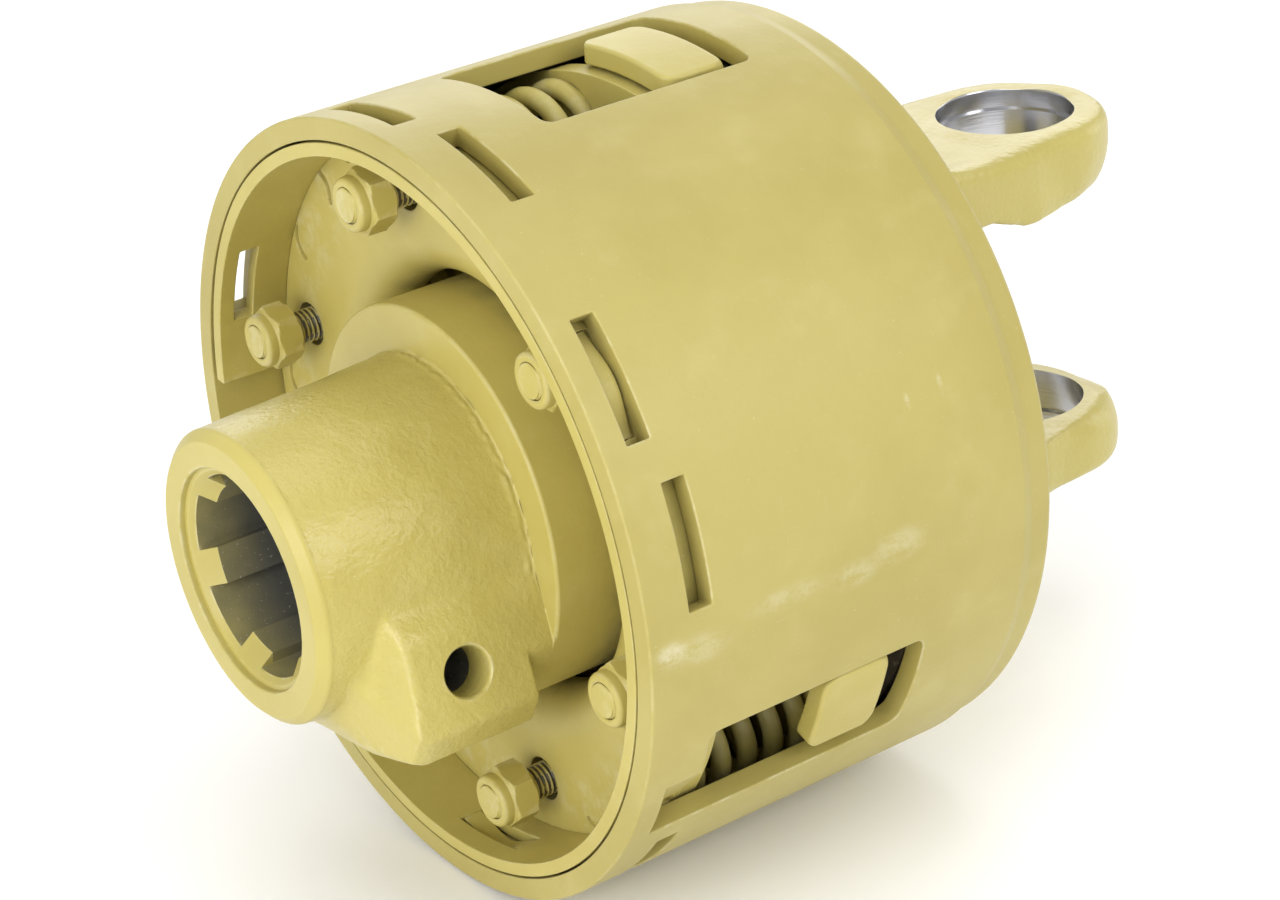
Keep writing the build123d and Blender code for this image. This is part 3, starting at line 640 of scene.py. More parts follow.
# Drum and ring: punched sheet rolled round the shaft
def on_spoke(x, across, out, angle):
    """Point at a distance out along a spoke and across it."""
    turned = math.radians(angle)
    y = out * math.cos(turned) - across * math.sin(turned)
    z = out * math.sin(turned) + across * math.cos(turned)
    return (x, y, z)


EDGE_ARC = [(1 - math.sin(a), 1 - math.cos(a)) for a in np.radians([90, 60, 30, 0])]


def rolled_sheet(shape, outer, inner, stations, inner_station, turn, holes, edge):
    """Outer and inner face of a rolled sheet, with rounded punched holes between them.

    stations and turn give the grid; each hole is (angle, outline of (across, station)).
    """
    first, last = stations[0], stations[-1]
    spacing = 2.6
    flat, outside, within = [], [], []
    voids, boxes = [], []

    def note(angle, station):
        flat.append((math.radians(angle) * outer, station))
        outside.append(on_spoke(FRONT + station, 0.0, outer, angle))
        within.append(on_spoke(FRONT + inner_station(station), 0.0, inner, angle))
        return len(flat) - 1

    border = [note(a, first) for a in turn]
    border += [note(turn[-1], s) for s in stations[1:-1]]
    border += [note(a, last) for a in reversed(turn)]
    border += [note(turn[0], s) for s in reversed(stations[1:-1])]
    rims = [border]
    for angle, outline in holes:
        outline = divide(outline, spacing)
        for away, drop in EDGE_ARC:
            moved = grow(outline, away * edge) if away else np.array(outline)
            loop = []
            for across, station in moved:
                there = angle + math.degrees(math.asin(across / outer))
                flat.append((math.radians(there) * outer, station))
                out_up = math.sqrt((outer - drop * edge) ** 2 - across**2)
                in_up = math.sqrt((inner + drop * edge) ** 2 - across**2)
                outside.append(on_spoke(FRONT + station, across, out_up, angle))
                within.append(on_spoke(FRONT + inner_station(station), across, in_up, angle))
                loop.append(len(flat) - 1)
            rims.append(loop)
        voids.append(rims[-len(EDGE_ARC)])
        spots = np.array([flat[k] for k in rims[-1]])
        boxes.append((spots.min(axis=0) - spacing, spots.max(axis=0) + spacing))
    for a in turn[1:-1]:
        for s in stations[1:-1]:
            spot = np.array([math.radians(a) * outer, s])
            if not any(np.all(spot > low) and np.all(spot < high) for low, high in boxes):
                note(a, s)
    triangles = fill(flat, rims, voids)
    top = shape.add(outside)
    bottom = shape.add(within)
    for a, b, c in triangles:
        shape.face((top[a], top[b], top[c]))
        shape.face((bottom[c], bottom[b], bottom[a]))
    for loop in voids:
        shape.strip([[top[k] for k in loop], [bottom[k] for k in loop]])


def spoke_slab(shape, outline, angle, start, length, edge):
    """Bar along the drum on a spoke, from its section of (across, out)."""
    begin = FRONT + start
    slab(shape, outline, edge_rows(length, edge), lambda u, v, w: on_spoke(begin + w, u, v, angle))


def rectangle(across, start, end, corner):
    """Outline of (across, station) of a hole centred on its spoke."""
    half = across / 2
    corners = [(-half, start), (half, start), (half, end), (-half, end)]
    return round_path([(u, s, corner) for u, s in corners], steps=4)


def lower_hole():
    """Lower window with its front run beside the bent strip."""
    across, start, end = LOWER_WINDOW
    half = across / 2
    near = half - STRIP_ACROSS
    corners = [(-half, start, WINDOW_CORNER), (near, start, 0.0), (near, FRONT_SLOT, 0.0)]
    corners += [(half, FRONT_SLOT, 0.0), (half, end, WINDOW_CORNER), (-half, end, WINDOW_CORNER)]
    return round_path(corners, steps=4)


def make_drum():
    shape = Shape()
    edge_start, edge_end = 1.2, SHELL_LENGTH - 9.4
    inner_start, inner_end = 0.6, SHELL_LENGTH - 10.2
    turn = list(np.linspace(0.0, 360.0, 201))
    stations = list(np.linspace(edge_start, edge_end, 17))
    # The inner face starts nearer the front and ends earlier than the outer one
    outer_at, inner_at = [edge_start, 3.0, 88.0, edge_end], [inner_start, 3.0, 88.0, inner_end]

    slots = [(a, FRONT_SLOT) for a in FRONT_SLOT_ANGLES + [OPEN_SLOT_ANGLE]]
    slots += [(a, SECOND_SLOT) for a in SECOND_SLOT_ANGLES]
    holes = [(a, rectangle(SLOT_ACROSS, start, start + SLOT_WIDTH, SLOT_CORNER)) for a, start in slots]
    holes += [(a, rectangle(*UPPER_WINDOW, WINDOW_CORNER)) for a in UPPER_ANGLES]
    holes += [(STRIP_ANGLE, lower_hole()), (PLAIN_ANGLE, rectangle(*LOWER_WINDOW, WINDOW_CORNER))]
    rolled_sheet(
        shape, SHELL, SHELL_INNER, stations, lambda s: np.interp(s, outer_at, inner_at), turn, holes, 0.5
    )
    front = [(edge_start, SHELL, 0), (0.0, SHELL, edge_start)]
    front += [(0.0, SHELL_INNER, inner_start), (inner_start, SHELL_INNER, 0)]
    band = SHELL - 1.2
    lip_radius = SHELL_INNER - 6.0
    rear = [
        (edge_end, SHELL, 0),
        (edge_end + 0.6, SHELL, 2.0),
        (edge_end + 3.6, band, 3.0),
        (SHELL_LENGTH, band, 1.6),
        (SHELL_LENGTH, lip_radius, 0.7),
        (SHELL_LENGTH - LIP, lip_radius, 0.3),
        (SHELL_LENGTH - LIP, YOKE_SEAT, 0),
        (inner_end, YOKE_SEAT, 0),
        (inner_end, SHELL_INNER, 0),
    ]
    for corners in (front, rear):
        path = round_path(corners, closed=False, steps=4)
        shape.lathe([(FRONT + s, r) for s, r in path], turn[:-1])
    # Strip bent in beside the lower window's front run
    hinge = LOWER_WINDOW[0] / 2 - STRIP_ACROSS
    back = hinge - 3.0
    height = math.sqrt(SHELL**2 - hinge**2)
    lean = math.radians(STRIP_BEND) + math.asin(hinge / SHELL)
    tip = (hinge + STRIP_LENGTH * math.cos(lean), height - STRIP_LENGTH * math.sin(lean))
    corners = [
        (back, math.sqrt(SHELL**2 - back**2) - 0.05, 0),
        (hinge - 0.4, height - 0.05, 2.0),
        (*tip, 0.6),
        (tip[0] - math.sin(lean) * SHELL_WALL, tip[1] - math.cos(lean) * SHELL_WALL, 0.6),
        (hinge - 1.4, height - SHELL_WALL + 0.15, 1.5),
        (back, height - SHELL_WALL + 0.25, 0),
    ]
    start = FRONT_SLOT + SLOT_PLAY
    spoke_slab(shape, round_path(corners), STRIP_ANGLE, start, LOWER_WINDOW[1] - start, 0.5)
    # The inner face behind the spring plate gets the near-black steel, which paints the shade inside the
    # drum
    for place, face in enumerate(shape.faces):
        x, radius = shape.middle(face)
        if FRONT + 20 < x < FRONT + inner_end and radius < SHELL_INNER + 0.2:
            shape.zones[place] = 1
    mesh = clean_mesh("clutch_housing", shape, [drum_paint, shade_dark_inside])
    add_piece("drum_shell", mesh, "housing", "clutch_housing")


def make_ring():
    """Split ring inside the front rim, with its pressed tongues."""
    shape = Shape()
    length = ring_high[0] - ring_low[0]
    thick, edge = 3.0, 0.5
    outer = SHELL_INNER - 0.5
    inner = outer - thick
    gap_start, gap_end = -9.0, 5.8
    turn = list(np.linspace(gap_end, gap_start + 360, 175))
    stations = list(np.linspace(edge, length - edge, 6))

    slit_start, slit_end = FRONT_SLOT - SLOT_PLAY, FRONT_SLOT + SLOT_WIDTH + SLOT_PLAY
    slit_across, open_slit = 23.0, (20.5, 3.9, 8.6)
    holes = [(a, rectangle(slit_across, slit_start, slit_end, SLOT_CORNER)) for a in FRONT_SLOT_ANGLES]
    holes.append((OPEN_SLOT_ANGLE, rectangle(*open_slit, SLOT_CORNER)))
    middle = (LOWER_WINDOW[0] - STRIP_ACROSS) / 2
    room = rectangle(STRIP_ACROSS + 3.2, slit_start, LOWER_WINDOW[1] + SLOT_PLAY, SLOT_CORNER)
    holes.append((STRIP_ANGLE, [(u + middle, s) for u, s in room]))
    rolled_sheet(shape, outer, inner, stations, lambda s: s, turn, holes, 0.35)
    for rim, inwards in ((0, edge), (length, length - edge)):
        corners = [(inwards, outer, 0), (rim, outer, edge), (rim, inner, edge), (inwards, inner, 0)]
        loops = [shape.ring(FRONT + s, radius, turn) for s, radius in round_path(corners, closed=False)]
        shape.strip(loops, closed=False)
        for end in (0, -1):
            shape.face([loop[end] for loop in loops])
    # Cut ends
    for a in (turn[0], turn[-1]):
        sides = [shape.add([on_spoke(FRONT + s, 0, r, a) for s in stations]) for r in (outer, inner)]
        shape.strip(sides, closed=False)
    # Tongues pressed outwards through the drum's slots
    half, rise, steps = 11.3, 2.6, 14
    tongue = []
    for k in range(steps + 1):
        u = -half + 2 * half * k / steps
        lift = rise * (0.5 + 0.5 * math.cos(math.pi * u / half)) ** 0.8
        tongue.append((u, math.sqrt(outer**2 - u**2) - 0.1 + lift))
    outline = tongue + [(u, v - thick + 0.25) for u, v in reversed(tongue)]
    for angle in FRONT_SLOT_ANGLES:
        spoke_slab(shape, outline, angle, FRONT_SLOT + SLOT_PLAY, SLOT_WIDTH - 2 * SLOT_PLAY, 0.4)
    # The ring's ends spring inwards
    gap_middle = (gap_start + gap_end) / 2
    for number, (x, y, z) in enumerate(shape.points):
        away = abs((math.degrees(math.atan2(z, y)) - gap_middle + 180) % 360 - 180)
        inwards = 1 - 1.7 * max(0.0, 1 - away / 50) ** 1.5 / math.hypot(y, z)
        shape.points[number] = (x, y * inwards, z * inwards)
    mesh = clean_mesh("retaining_ring", shape, [sheet_paint])
    add_piece("split_ring", mesh, "housing", "retaining_ring")


# Spring plate with stud holes, press marks and its curled inner edge
def crescent(centre, facing, size, width, half_angle):
    """Closed outline of a crescent with rounded ends in the (y, z) plane."""
    outline = []
    steps = 8
    for way in (1, -1):
        for k in range(steps + 1):
            angle = facing - way * (half_angle - 2 * half_angle * k / steps)
            outline.append(polar(size + way * width / 2, angle))
        outline.append(polar(size, facing + way * (half_angle + 6)))
    return [(centre[0] + y, centre[1] + z) for y, z in outline]


def make_spring_plate():
    shape = Shape()
    sheet, bend, lip, edge = 4.5, 10.0, 47.2, 0.5
    front = plate_low[0]
    back = front + sheet
    bend_start = lip + bend
    rim = PLATE_RADIUS
    around = columns(180)
    front_rims, back_rims = [
        [shape.ring(x, r, around) for r in (rim - edge, bend_start)] for x in (front, back)
    ]
    hole = 5.0
    for angle in STUD_ANGLES:
        centre = polar(STUD_CIRCLE, angle)
        depths = ((hole + 0.45, 0.0), (hole + 0.13, 0.13), (hole, 0.45), (hole, sheet))
        rings = [shape.ring(front + depth, radius, columns(32), centre) for radius, depth in depths]
        shape.strip(rings)
        front_rims.append(rings[0])
        back_rims.append(rings[-1])
    # Press marks: (circle, angle after the stud, way that the mark faces)
    press_marks = [(76.3, 14.1, -49.0), (75.3, 32.9, 103.0), (77.4, 45.7, 5.0)]
    mark_size, mark_width, mark_half = 4.8, 1.7, 48.0
    for stud_angle in STUD_ANGLES:
        for place, offset, turned in press_marks:
            facing = stud_angle + offset + turned
            spot = np.array(polar(place, stud_angle + offset)) - np.array(polar(mark_size, facing))
            outline = crescent(spot, facing, mark_size, mark_width, mark_half)
            rings = []
            for inset, depth in ((-0.12, 0.0), (0.0, 0.14), (0.08, 0.75), (0.3, 0.95)):
                rings.append(shape.add([(front + depth, y, z) for y, z in grow(outline, -inset)]))
            shape.strip(rings)
            shape.face(rings[-1])
            front_rims.append(rings[0])
    cover(shape, front_rims)
    # The plate's back gets the near-black steel, painted shade
    cover(shape, back_rims, 1)
    shape.lathe(rim_path(front, back, rim, rim - edge, edge), around)

    def bent(radius, share):
        """Place on the bend between the flat plate and the lip."""
        a = math.radians(90 * share)
        return (front + bend - radius * math.cos(a), bend_start - radius * math.sin(a))

    over, rounding = 2.5, 0.8
    lip_start, lip_end = front + bend, front + bend + over
    corners = [(lip_start, lip, 0), (lip_end, lip, rounding)]
    corners += [(lip_end, lip + sheet, rounding), (lip_start, lip + sheet, 0)]
    curl = [bent(bend, k / 12) for k in range(13)]
    curl += round_path(corners, closed=False)[1:-1]
    curl += [bent(bend - sheet, 1 - k / 12) for k in range(13)]
    shape.lathe(curl, around)
    mesh = clean_mesh("spring_plate", shape, [sheet_paint, shade_dark_inside])
    add_piece("curled_plate", mesh, "housing", "spring_plate")


# Pressure plate and intermediate plate with their bent tabs
def make_tabbed_plate(name, node, body, tab, tab_angles, studded):
    shape = Shape()
    across, length, heel = tab
    thick, bore, edge, hole = 5.5, 50.0, 0.5, 4.0
    rear = box_mm(node)[1][0]
    front = rear - thick
    rim = PLATE_RADIUS
    around = columns(160)
    if studded:
        faces = []
        # Front face painted olive, rear face, stud holes and bore near-black steel as painted shade
        for x, zone in ((front, 0), (rear, 1)):
            rims = [shape.ring(x, r, around) for r in (rim - edge, bore + edge)]
            rims += [shape.ring(x, hole, columns(24), polar(STUD_CIRCLE, a)) for a in STUD_ANGLES]
            cover(shape, rims, zone)
            faces.append(rims[2:])
        for pair in zip(*faces):
            shape.strip(pair, 1)
        for radius, flat, zone in ((rim, rim - edge, 0), (bore, bore + edge, 1)):
            shape.lathe(rim_path(front, rear, radius, flat, edge), around, zone)
    else:
        corners = [(front, rim, edge), (rear, rim, edge), (rear, bore, edge), (front, bore, edge)]
        # The whole ring is near-black steel as painted shade, only its tabs are olive
        shape.lathe(round_path(corners), around, 1, closed=True)
    under, tip = SHELL - 4.9, rear - length
    corners = [
        (front + 0.4, rim - 3.0, 0.4),
        (front, under, 2.2),
        (tip, under, 0.7),
        (tip, SHELL, 0.9),
        (rear - heel, SHELL, 2.4),
        (rear - heel + 0.8, SHELL - 3.4, 1.6),
        (rear - 0.1, rim - 0.6, 0.8),
        (rear - 0.1, rim - 3.0, 0.4),
    ]
    near = [1.2, 1.7, 2.3, 3.0, 3.8, 4.8]
    between = near + list(np.linspace(6.0, across - 6.0, 6)) + [across - w for w in reversed(near)]
    ends = edge_rows(across, 0.8, 4)
    rows = ends[:5] + [(w, 0.0) for w in between] + ends[5:]
    corner = 3.8

    def on_tab(x, height, w, angle):
        """Point of a tab that follows the drum's curve, with its corners rounded in plan."""
        aside = w - across / 2
        sag = SHELL - math.sqrt(SHELL**2 - aside**2)
        side = max(0.0, corner - min(w, across - w))
        pull = corner - math.sqrt(corner**2 - side**2)
        front_share = min(1.0, max(0.0, (tip + 7 - x) / 5.5))
        back_share = min(1.0, max(0.0, (x - rear + heel + 5) / 4)) if height > rim + 2 else 0.0
        return on_spoke(x + pull * (front_share - 0.8 * back_share), aside, height - sag, angle)

    outline = round_path(corners, steps=5)
    for angle in tab_angles:
        slab(shape, outline, rows, lambda x, height, w: on_tab(x, height, w, angle))
    mesh = clean_mesh(node, shape, [sheet_paint, shade_dark_inside])
    add_piece(name, mesh, body, node)


def play_angle(window, tab, play):
    """Angle by which a tab stands aside of its window's middle."""
    return math.degrees(math.asin((window[0] - tab[0] - play) / 2 / SHELL))


# Coil springs, studs and lock nuts
def make_spring(number, angle):
    shape = Shape()
    start, end = spring_low[0], spring_high[0]
    wire, mean, turns = 2.25, 10.8, 5.6
    ground = 2 * wire * 0.15
    pitch = (end - start + 2 * ground) / turns
    y0, z0 = polar(STUD_CIRCLE, angle)
    steps, sides = 40, 14
    loops = []
    slope = pitch / (2 * math.pi * mean)
    for k in range(int(turns * steps) + 1):
        share = k / steps
        t = math.radians(angle + 275) + 2 * math.pi * share
        x = start - ground + pitch * share
        loop = []
        for j in range(sides):
            s = 2 * math.pi * j / sides
            out, along = wire * math.cos(s), wire * math.sin(s)
            lean = along * slope
            y = y0 + (mean + out) * math.cos(t) + lean * math.sin(t)
            z = z0 + (mean + out) * math.sin(t) - lean * math.cos(t)
            loop.append((min(max(x + along, start), end), y, z))
        loops.append(shape.add(loop))
    shape.tube(loops)
    node = f"spring_{number}"
    mesh = clean_mesh(node, shape, [small_paint])
    obj = add_piece(f"coil_{number}", mesh, "housing", node, sharp=50)
    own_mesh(obj)


def make_stud(number, angle):
    """Stud with a true thread at its front end."""
    shape = Shape()
    front, rear = stud_low[0], stud_high[0]
    radius, pitch, depth, chamfer = 4.0, 1.25, 0.62, 0.3
    centre = polar(STUD_CIRCLE, angle)
    around = columns(24)
    thread_end = front + 20.0
    stations = [front + chamfer * 0.05, front + chamfer * 0.5]
    stations += list(np.arange(front + chamfer, thread_end, pitch / 6))
    loops = []
    for x in stations:
        share = ((x - front) / pitch - around / 360.0) % 1.0
        wave = np.clip(2.4 * np.abs(share - 0.5) - 0.15, 0.0, 1.0)
        radii = np.minimum(radius - depth * (1 - wave), radius - chamfer + (x - front))
        loops.append(shape.ring(x, radii, around, centre))
    for x, r in ((thread_end + 0.6, radius), (rear - 0.3, radius), (rear, radius - 0.3)):
        loops.append(shape.ring(x, r, around, centre))
    shape.tube(loops)
    # The crests and the tip are painted olive; the thread's flanks and valleys get the dark stud steel,
    # which also paints the shade in the grooves
    for place, face in enumerate(shape.faces):
        x, y, z = np.mean([shape.points[k] for k in face], axis=0)
        crest = math.hypot(y - centre[0], z - centre[1]) > radius - 0.3
        shape.zones[place] = 0 if crest or x < front + 1.0 else 1
    node = f"stud_{number}"
    mesh = clean_mesh(node, shape, [small_paint, thread_steel])
    add_piece(f"threaded_stud_{number}", mesh, "pressure", node, sharp=60)


def make_nut(number, angle):
    """Lock nut: crimped collar, turned crown edge and chamfered hexagon."""
    shape = Shape()
    front, rear = nut_low[0], nut_high[0]
    centre = polar(STUD_CIRCLE, angle)
    around = columns(96, angle)
    flat, bore = 6.5, 4.06
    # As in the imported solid, a corner of the hexagon stands at the stud's own angle
    hexagon = np.array([flat / math.cos(math.radians((a - angle) % 60 - 30)) for a in around])
    seat = front + 2.5
    # Rows of (x, radius, whether the hexagon cuts it)
    profile = [(rear, bore, 0), (rear, bore + 0.3, 0), (rear, 6.3, 0)]
    profile += [(rear - 0.15, 6.55, 1), (rear - 0.75, 7.6, 1), (seat + 1.15, 7.6, 1)]
    profile += [(seat + 0.75, 7.15, 1), (seat + 0.38, 6.55, 1), (seat + 0.12, 6.28, 0)]
    profile += [(seat - 0.05, 6.12, 0), (seat - 0.7, 6.10, 0), (front + 0.9, 6.02, 0)]
    profile += [(front + 0.42, 5.80, 0), (front + 0.12, 5.40, 0), (front, 4.95, 0)]
    profile += [(front + 0.02, 4.60, 0), (front + 0.10, 4.25, 0), (front + 0.22, bore, 0)]
    loops = []
    for x, radius, cut in profile:
        loops.append(shape.ring(x, np.minimum(hexagon, radius) if cut else radius, around, centre))
    shape.strip(loops + loops[:1])
    node = f"lock_nut_{number}"
    mesh = clean_mesh(node, shape, [small_paint])
    add_piece(f"crimp_nut_{number}", mesh, f"nut_{number}", node, sharp=30)


# Hub: neck with the clamp boss, shoulder, friction flange, hexagon and splined bore.
# Places along it are distances behind its front face.
BOSS_ANGLE = 165.0
BOSS_HALF = 35.5
BOSS_REACH = 43.3
BOSS_EDGE = 6.0
BOSS_FRONT = 13.6
BOSS_RAMP = 7.6
BOSS_NOSE = 22.0
BOSS_REAR = 42.5
BOSS_TOP = 14.0
BOLT_OUT, BOLT_SETBACK, BOLT_RADIUS = 26.5, 27.8, 5.25
NECK_START = 32.4
NECK_END = 35.5
NECK_DRIFT = 1.4
NECK_DRIFT_ANGLE = 215.0
SHOULDER = 45.0
SHOULDER_AT = 48.7
FLANGE_FRONT, FLANGE_REAR, FLANGE_RADIUS = 110.3, 116.3, 76.0
HEXAGON_FLAT = 38.0
BORE_RELIEF = 24.0


def smooth_max(a, b, k):
    share = np.clip(0.5 + 0.5 * (a - b) / k, 0, 1)
    return b + (a - b) * share + k * share * (1 - share)


def smooth_min(a, b, k):
    return -smooth_max(-a, -b, k)


def boss_half_at(x, down):
    """Half width of the boss along its bolt, by its place along the hub and down from the shaft."""
    shift = 2.8 * np.clip((down - 22) / 18, 0, 1) ** 2
    near = x + shift[:, None] + np.linspace(-1.5, 1.5, 13)[None, :]
    ramp = np.clip((near - BOSS_FRONT + BOSS_RAMP) / BOSS_RAMP, 0, 1)
    return np.mean(BOSS_NOSE + (BOSS_HALF - BOSS_NOSE) * (1 - np.sqrt(1 - ramp**2)), axis=1)


def boss_reach_at(x):
    """Reach of the boss away from the shaft, by its place along the hub."""
    places = [2.4, 6.0, 8.0, 10.0, 12.0, 13.6, 16.0]
    return np.interp(x, places, [26.0, 29.5, 34.0, 38.4, 41.0, 42.2, BOSS_REACH])


def neck_at(x, angles):
    """Radius of the conical neck, which drifts off centre towards the boss."""
    share = (x - 2.0) / (SHOULDER_AT - 2.0)
    drift = NECK_DRIFT * np.cos(np.radians(np.asarray(angles) - NECK_DRIFT_ANGLE))
    fillet = 0.9
    past = np.clip(x - (SHOULDER_AT - fillet), 0, fillet)
    flare = fillet - math.sqrt(fillet**2 - past**2)
    return NECK_START + (NECK_END - NECK_START + drift) * share + flare


def neck_and_boss(x, angles):
    """Outer radius of the cast front part of the hub at one distance behind its face."""
    turned = np.radians(angles)
    low, high = np.full(len(angles), 15.0), np.full(len(angles), 70.0)
    across = math.radians(BOSS_ANGLE)
    down = math.radians(BOSS_ANGLE + 90)
    neck = neck_at(x, angles)
    tilt = float(np.interp(x, [BOSS_FRONT, 20.0, 30.0], [0.18, 0.055, 0.0]))
    corner = BOSS_EDGE + 10 * min(1.0, max(0.0, (13.0 - x) / 8))
    for _ in range(34):
        r = (low + high) / 2
        along = r * np.cos(turned - across)
        a = np.abs(along)
        b = r * np.cos(turned - down)
        reach = boss_reach_at(x) - tilt * np.maximum(0, 15 - along)
        half = boss_half_at(x, b)
        boss = smooth_max(a - half, b - reach, 1.2 if x > BOSS_FRONT + 3 else 3.0)
        boss = smooth_max(boss, (a + b - (half + reach - corner)) / math.sqrt(2), 0.8)
        boss = smooth_max(boss, 0.57 * (a - half) + 0.82 * (BOSS_TOP - b), 4.0)
        turned_off = smooth_min(r - SHOULDER, x - BOSS_REAR, 0.8)
        boss = smooth_max(boss, turned_off, 0.8)
        joined = smooth_min(r - neck, boss, 3.6)
        outside = joined > 0
        high = np.where(outside, r, high)
        low = np.where(outside, low, r)
    return (low + high) / 2


SPLINE_MAJOR = 22.3
SPLINE_TIP = 19.4
SPLINE_END = 78.7
TOOTH_HALF = SPLINE_TIP * math.sin(math.radians(12))


def spline_section(least):
    """Points (radius, angle) of the splined bore, opened out to a least radius."""
    flank = min(max(least, SPLINE_TIP), SPLINE_MAJOR)
    at_tip = math.degrees(math.asin(TOOTH_HALF / flank))
    at_root = math.degrees(math.asin(TOOTH_HALF / SPLINE_MAJOR))
    tip, root = max(least, SPLINE_TIP), max(least, SPLINE_MAJOR)
    section = []
    for tooth in range(6):
        middle = 45.0 + 60 * tooth
        for share in (-1, -0.97, -0.5, 0, 0.5, 0.97, 1):
            section.append((tip, middle + share * at_tip))
        section.append((max(tip, root - 0.25), middle + at_root + 0.1))
        section.append((max(tip, root - 0.03), middle + at_root + 0.8))
        for share in np.linspace(0.1, 0.9, 6):
            section.append((root, middle + at_root + share * (60 - 2 * at_root)))
        section.append((max(tip, root - 0.03), middle + 60 - at_root - 0.8))
        section.append((max(tip, root - 0.25), middle + 60 - at_root - 0.1))
    return section


def make_hub():
    shape = Shape()
    around = columns(480)
    loops, zones = [], []

    def row(x, radii, zone):
        loops.append(shape.ring(HUB_FACE + x, radii, around))
        zones.append(zone)

    face_edge = [(0.0, 28.0, 0), (0.0, 30.2, 0.8), (2.0, NECK_START, 1.6), (6.0, NECK_START + 0.3, 0)]
    for x, r in round_path(face_edge, closed=False, steps=4)[:-1]:
        row(x, r, TURNED)
    # Rows lie close together where the boss bends
    steps = [2.9, 3.3, 3.9, 4.6, 5.5, 6.5, 7.5, 8.5, 9.4, 10.2, 10.9, 11.5, 12.0, 12.4, 12.7, 12.95]
    steps += [13.15, 13.3, 13.42, 13.5, 13.56, 13.6, 13.75, 13.95, 14.2, 14.6, 15.4, 16.6]
    steps += list(np.arange(17.8, 40.6, 1.1)) + [41.2, 41.7, 42.0, 42.2, 42.35, 42.45, 42.55, 42.7, 42.9]
    steps += [43.2, 43.8, 44.8, 45.8, 46.3, 46.7, 47.05, 47.4, 47.75, 48.05, 48.3, 48.48]
    blend_start, blend_end = 2.7, 4.6
    for x in steps:
        radii = neck_and_boss(x, around)
        share = min(1.0, max(0.0, (x - blend_start) / (blend_end - blend_start)))
        radii = radii * share + NECK_START * (1 - share) if share < 1 else radii
        spots = np.array([(HUB_FACE + x, *polar(r, a)) for r, a in zip(radii, around)])
        lumps = 0.07 * ripple(spots, 26, 9, 5) * share
        # Ragged bead where the cast skin ends at the turned shoulder
        bead = math.exp(-(((x - 47.4) / 0.7) ** 2))
        near_neck = np.clip(1 - (radii - neck_at(x, around)) / 3.0, 0, 1)
        lumps = lumps + bead * near_neck * (0.22 + 0.10 * ripple(spots, 5, 1.8, 11))
        row(x, radii + lumps, CAST)
    boss_root = neck_and_boss(steps[-1], around)
    rough = 0.2 * ripple([(0, *polar(40, a)) for a in around], 8, 3, 12)
    root = np.minimum(boss_root + rough * (boss_root < SHOULDER - 3), SHOULDER)
    row(48.55, root, TURNED)
    root = np.minimum(root + 0.35, SHOULDER)
    row(SHOULDER_AT, root, TURNED)
    corners = [(SHOULDER_AT, 41.5, 0), (SHOULDER_AT, SHOULDER, 0.9)]
    corners += [(FLANGE_FRONT, SHOULDER, 0.6), (FLANGE_FRONT, FLANGE_RADIUS, 0.5)]
    corners += [(FLANGE_REAR, FLANGE_RADIUS, 0.5), (FLANGE_REAR, 50.0, 0)]
    for x, r in round_path(corners, closed=False, steps=4):
        row(x, np.maximum(r, root), TURNED)
    hexagon = HEXAGON_FLAT / np.cos(np.radians((around + 30) % 60 - 30))
    rear = hub_high[0] - HUB_FACE
    for x, more in ((FLANGE_REAR, 0.4), (FLANGE_REAR + 0.3, 0.0), (rear - 0.6, 0.0), (rear, -0.6)):
        row(x, hexagon + more, TURNED)
    shape.strip(loops, zones[1:])
    # Bore, from the front face to the rear
    bore_loops, bore_zones = [], []

    def bore_row(x, least, zone, opened=0.0):
        radii, angles = zip(*spline_section(least))
        bore_loops.append(shape.ring(HUB_FACE + x, np.array(radii) + opened, angles))
        bore_zones.append(zone)

    entry = [(0.0, 25.1), (0.12, 24.75), (0.4, 24.55), (1.5, 24.45), (1.62, 24.2), (1.62, 23.7)]
    cone = (23.45, 22.9, 22.3, 21.6, 20.9, 20.2, 19.65, SPLINE_TIP)
    entry += [(1.75 + (cone[0] - r) * 0.98, r) for r in cone]
    for x, r in entry:
        bore_row(x, r, TURNED)
    # Deeper in, the bore material darkens towards its near-black steel, painted shade
    for x in (6.1, 14.0, 30.0, 50.0, 70.0, SPLINE_END - 0.5):
        bore_row(x, SPLINE_TIP, BORE)
    bore_row(SPLINE_END, SPLINE_TIP, BORE, 0.3)
    seat = bush_low[0] - HUB_FACE - 1.5
    bush = bush_high[1]
    for x, r in ((SPLINE_END + 0.05, BORE_RELIEF), (seat, BORE_RELIEF), (seat + 0.01, bush)):
        bore_row(x, r, BORE)
    bore_row(rear - 0.4, bush, BORE)
    bore_row(rear, bush + 0.4, BORE)
    first_bore_face = len(shape.faces)
    shape.strip(bore_loops, bore_zones[1:])
    # The spline's roots take the bore material from the entry on, its dark steel painting the shade in
    # the grooves
    for number in range(first_bore_face, len(shape.faces)):
        x, radius = shape.middle(shape.faces[number])
        if radius > SPLINE_MAJOR - 0.2 and x > HUB_FACE + 2.9:
            shape.zones[number] = BORE
    for end in (0, -1):
        cover(shape, [loops[end], bore_loops[end]], TURNED)
    materials = [cast_paint, turned_paint, bore_paint_and_shade]
    mesh = clean_mesh("hub", shape, materials)
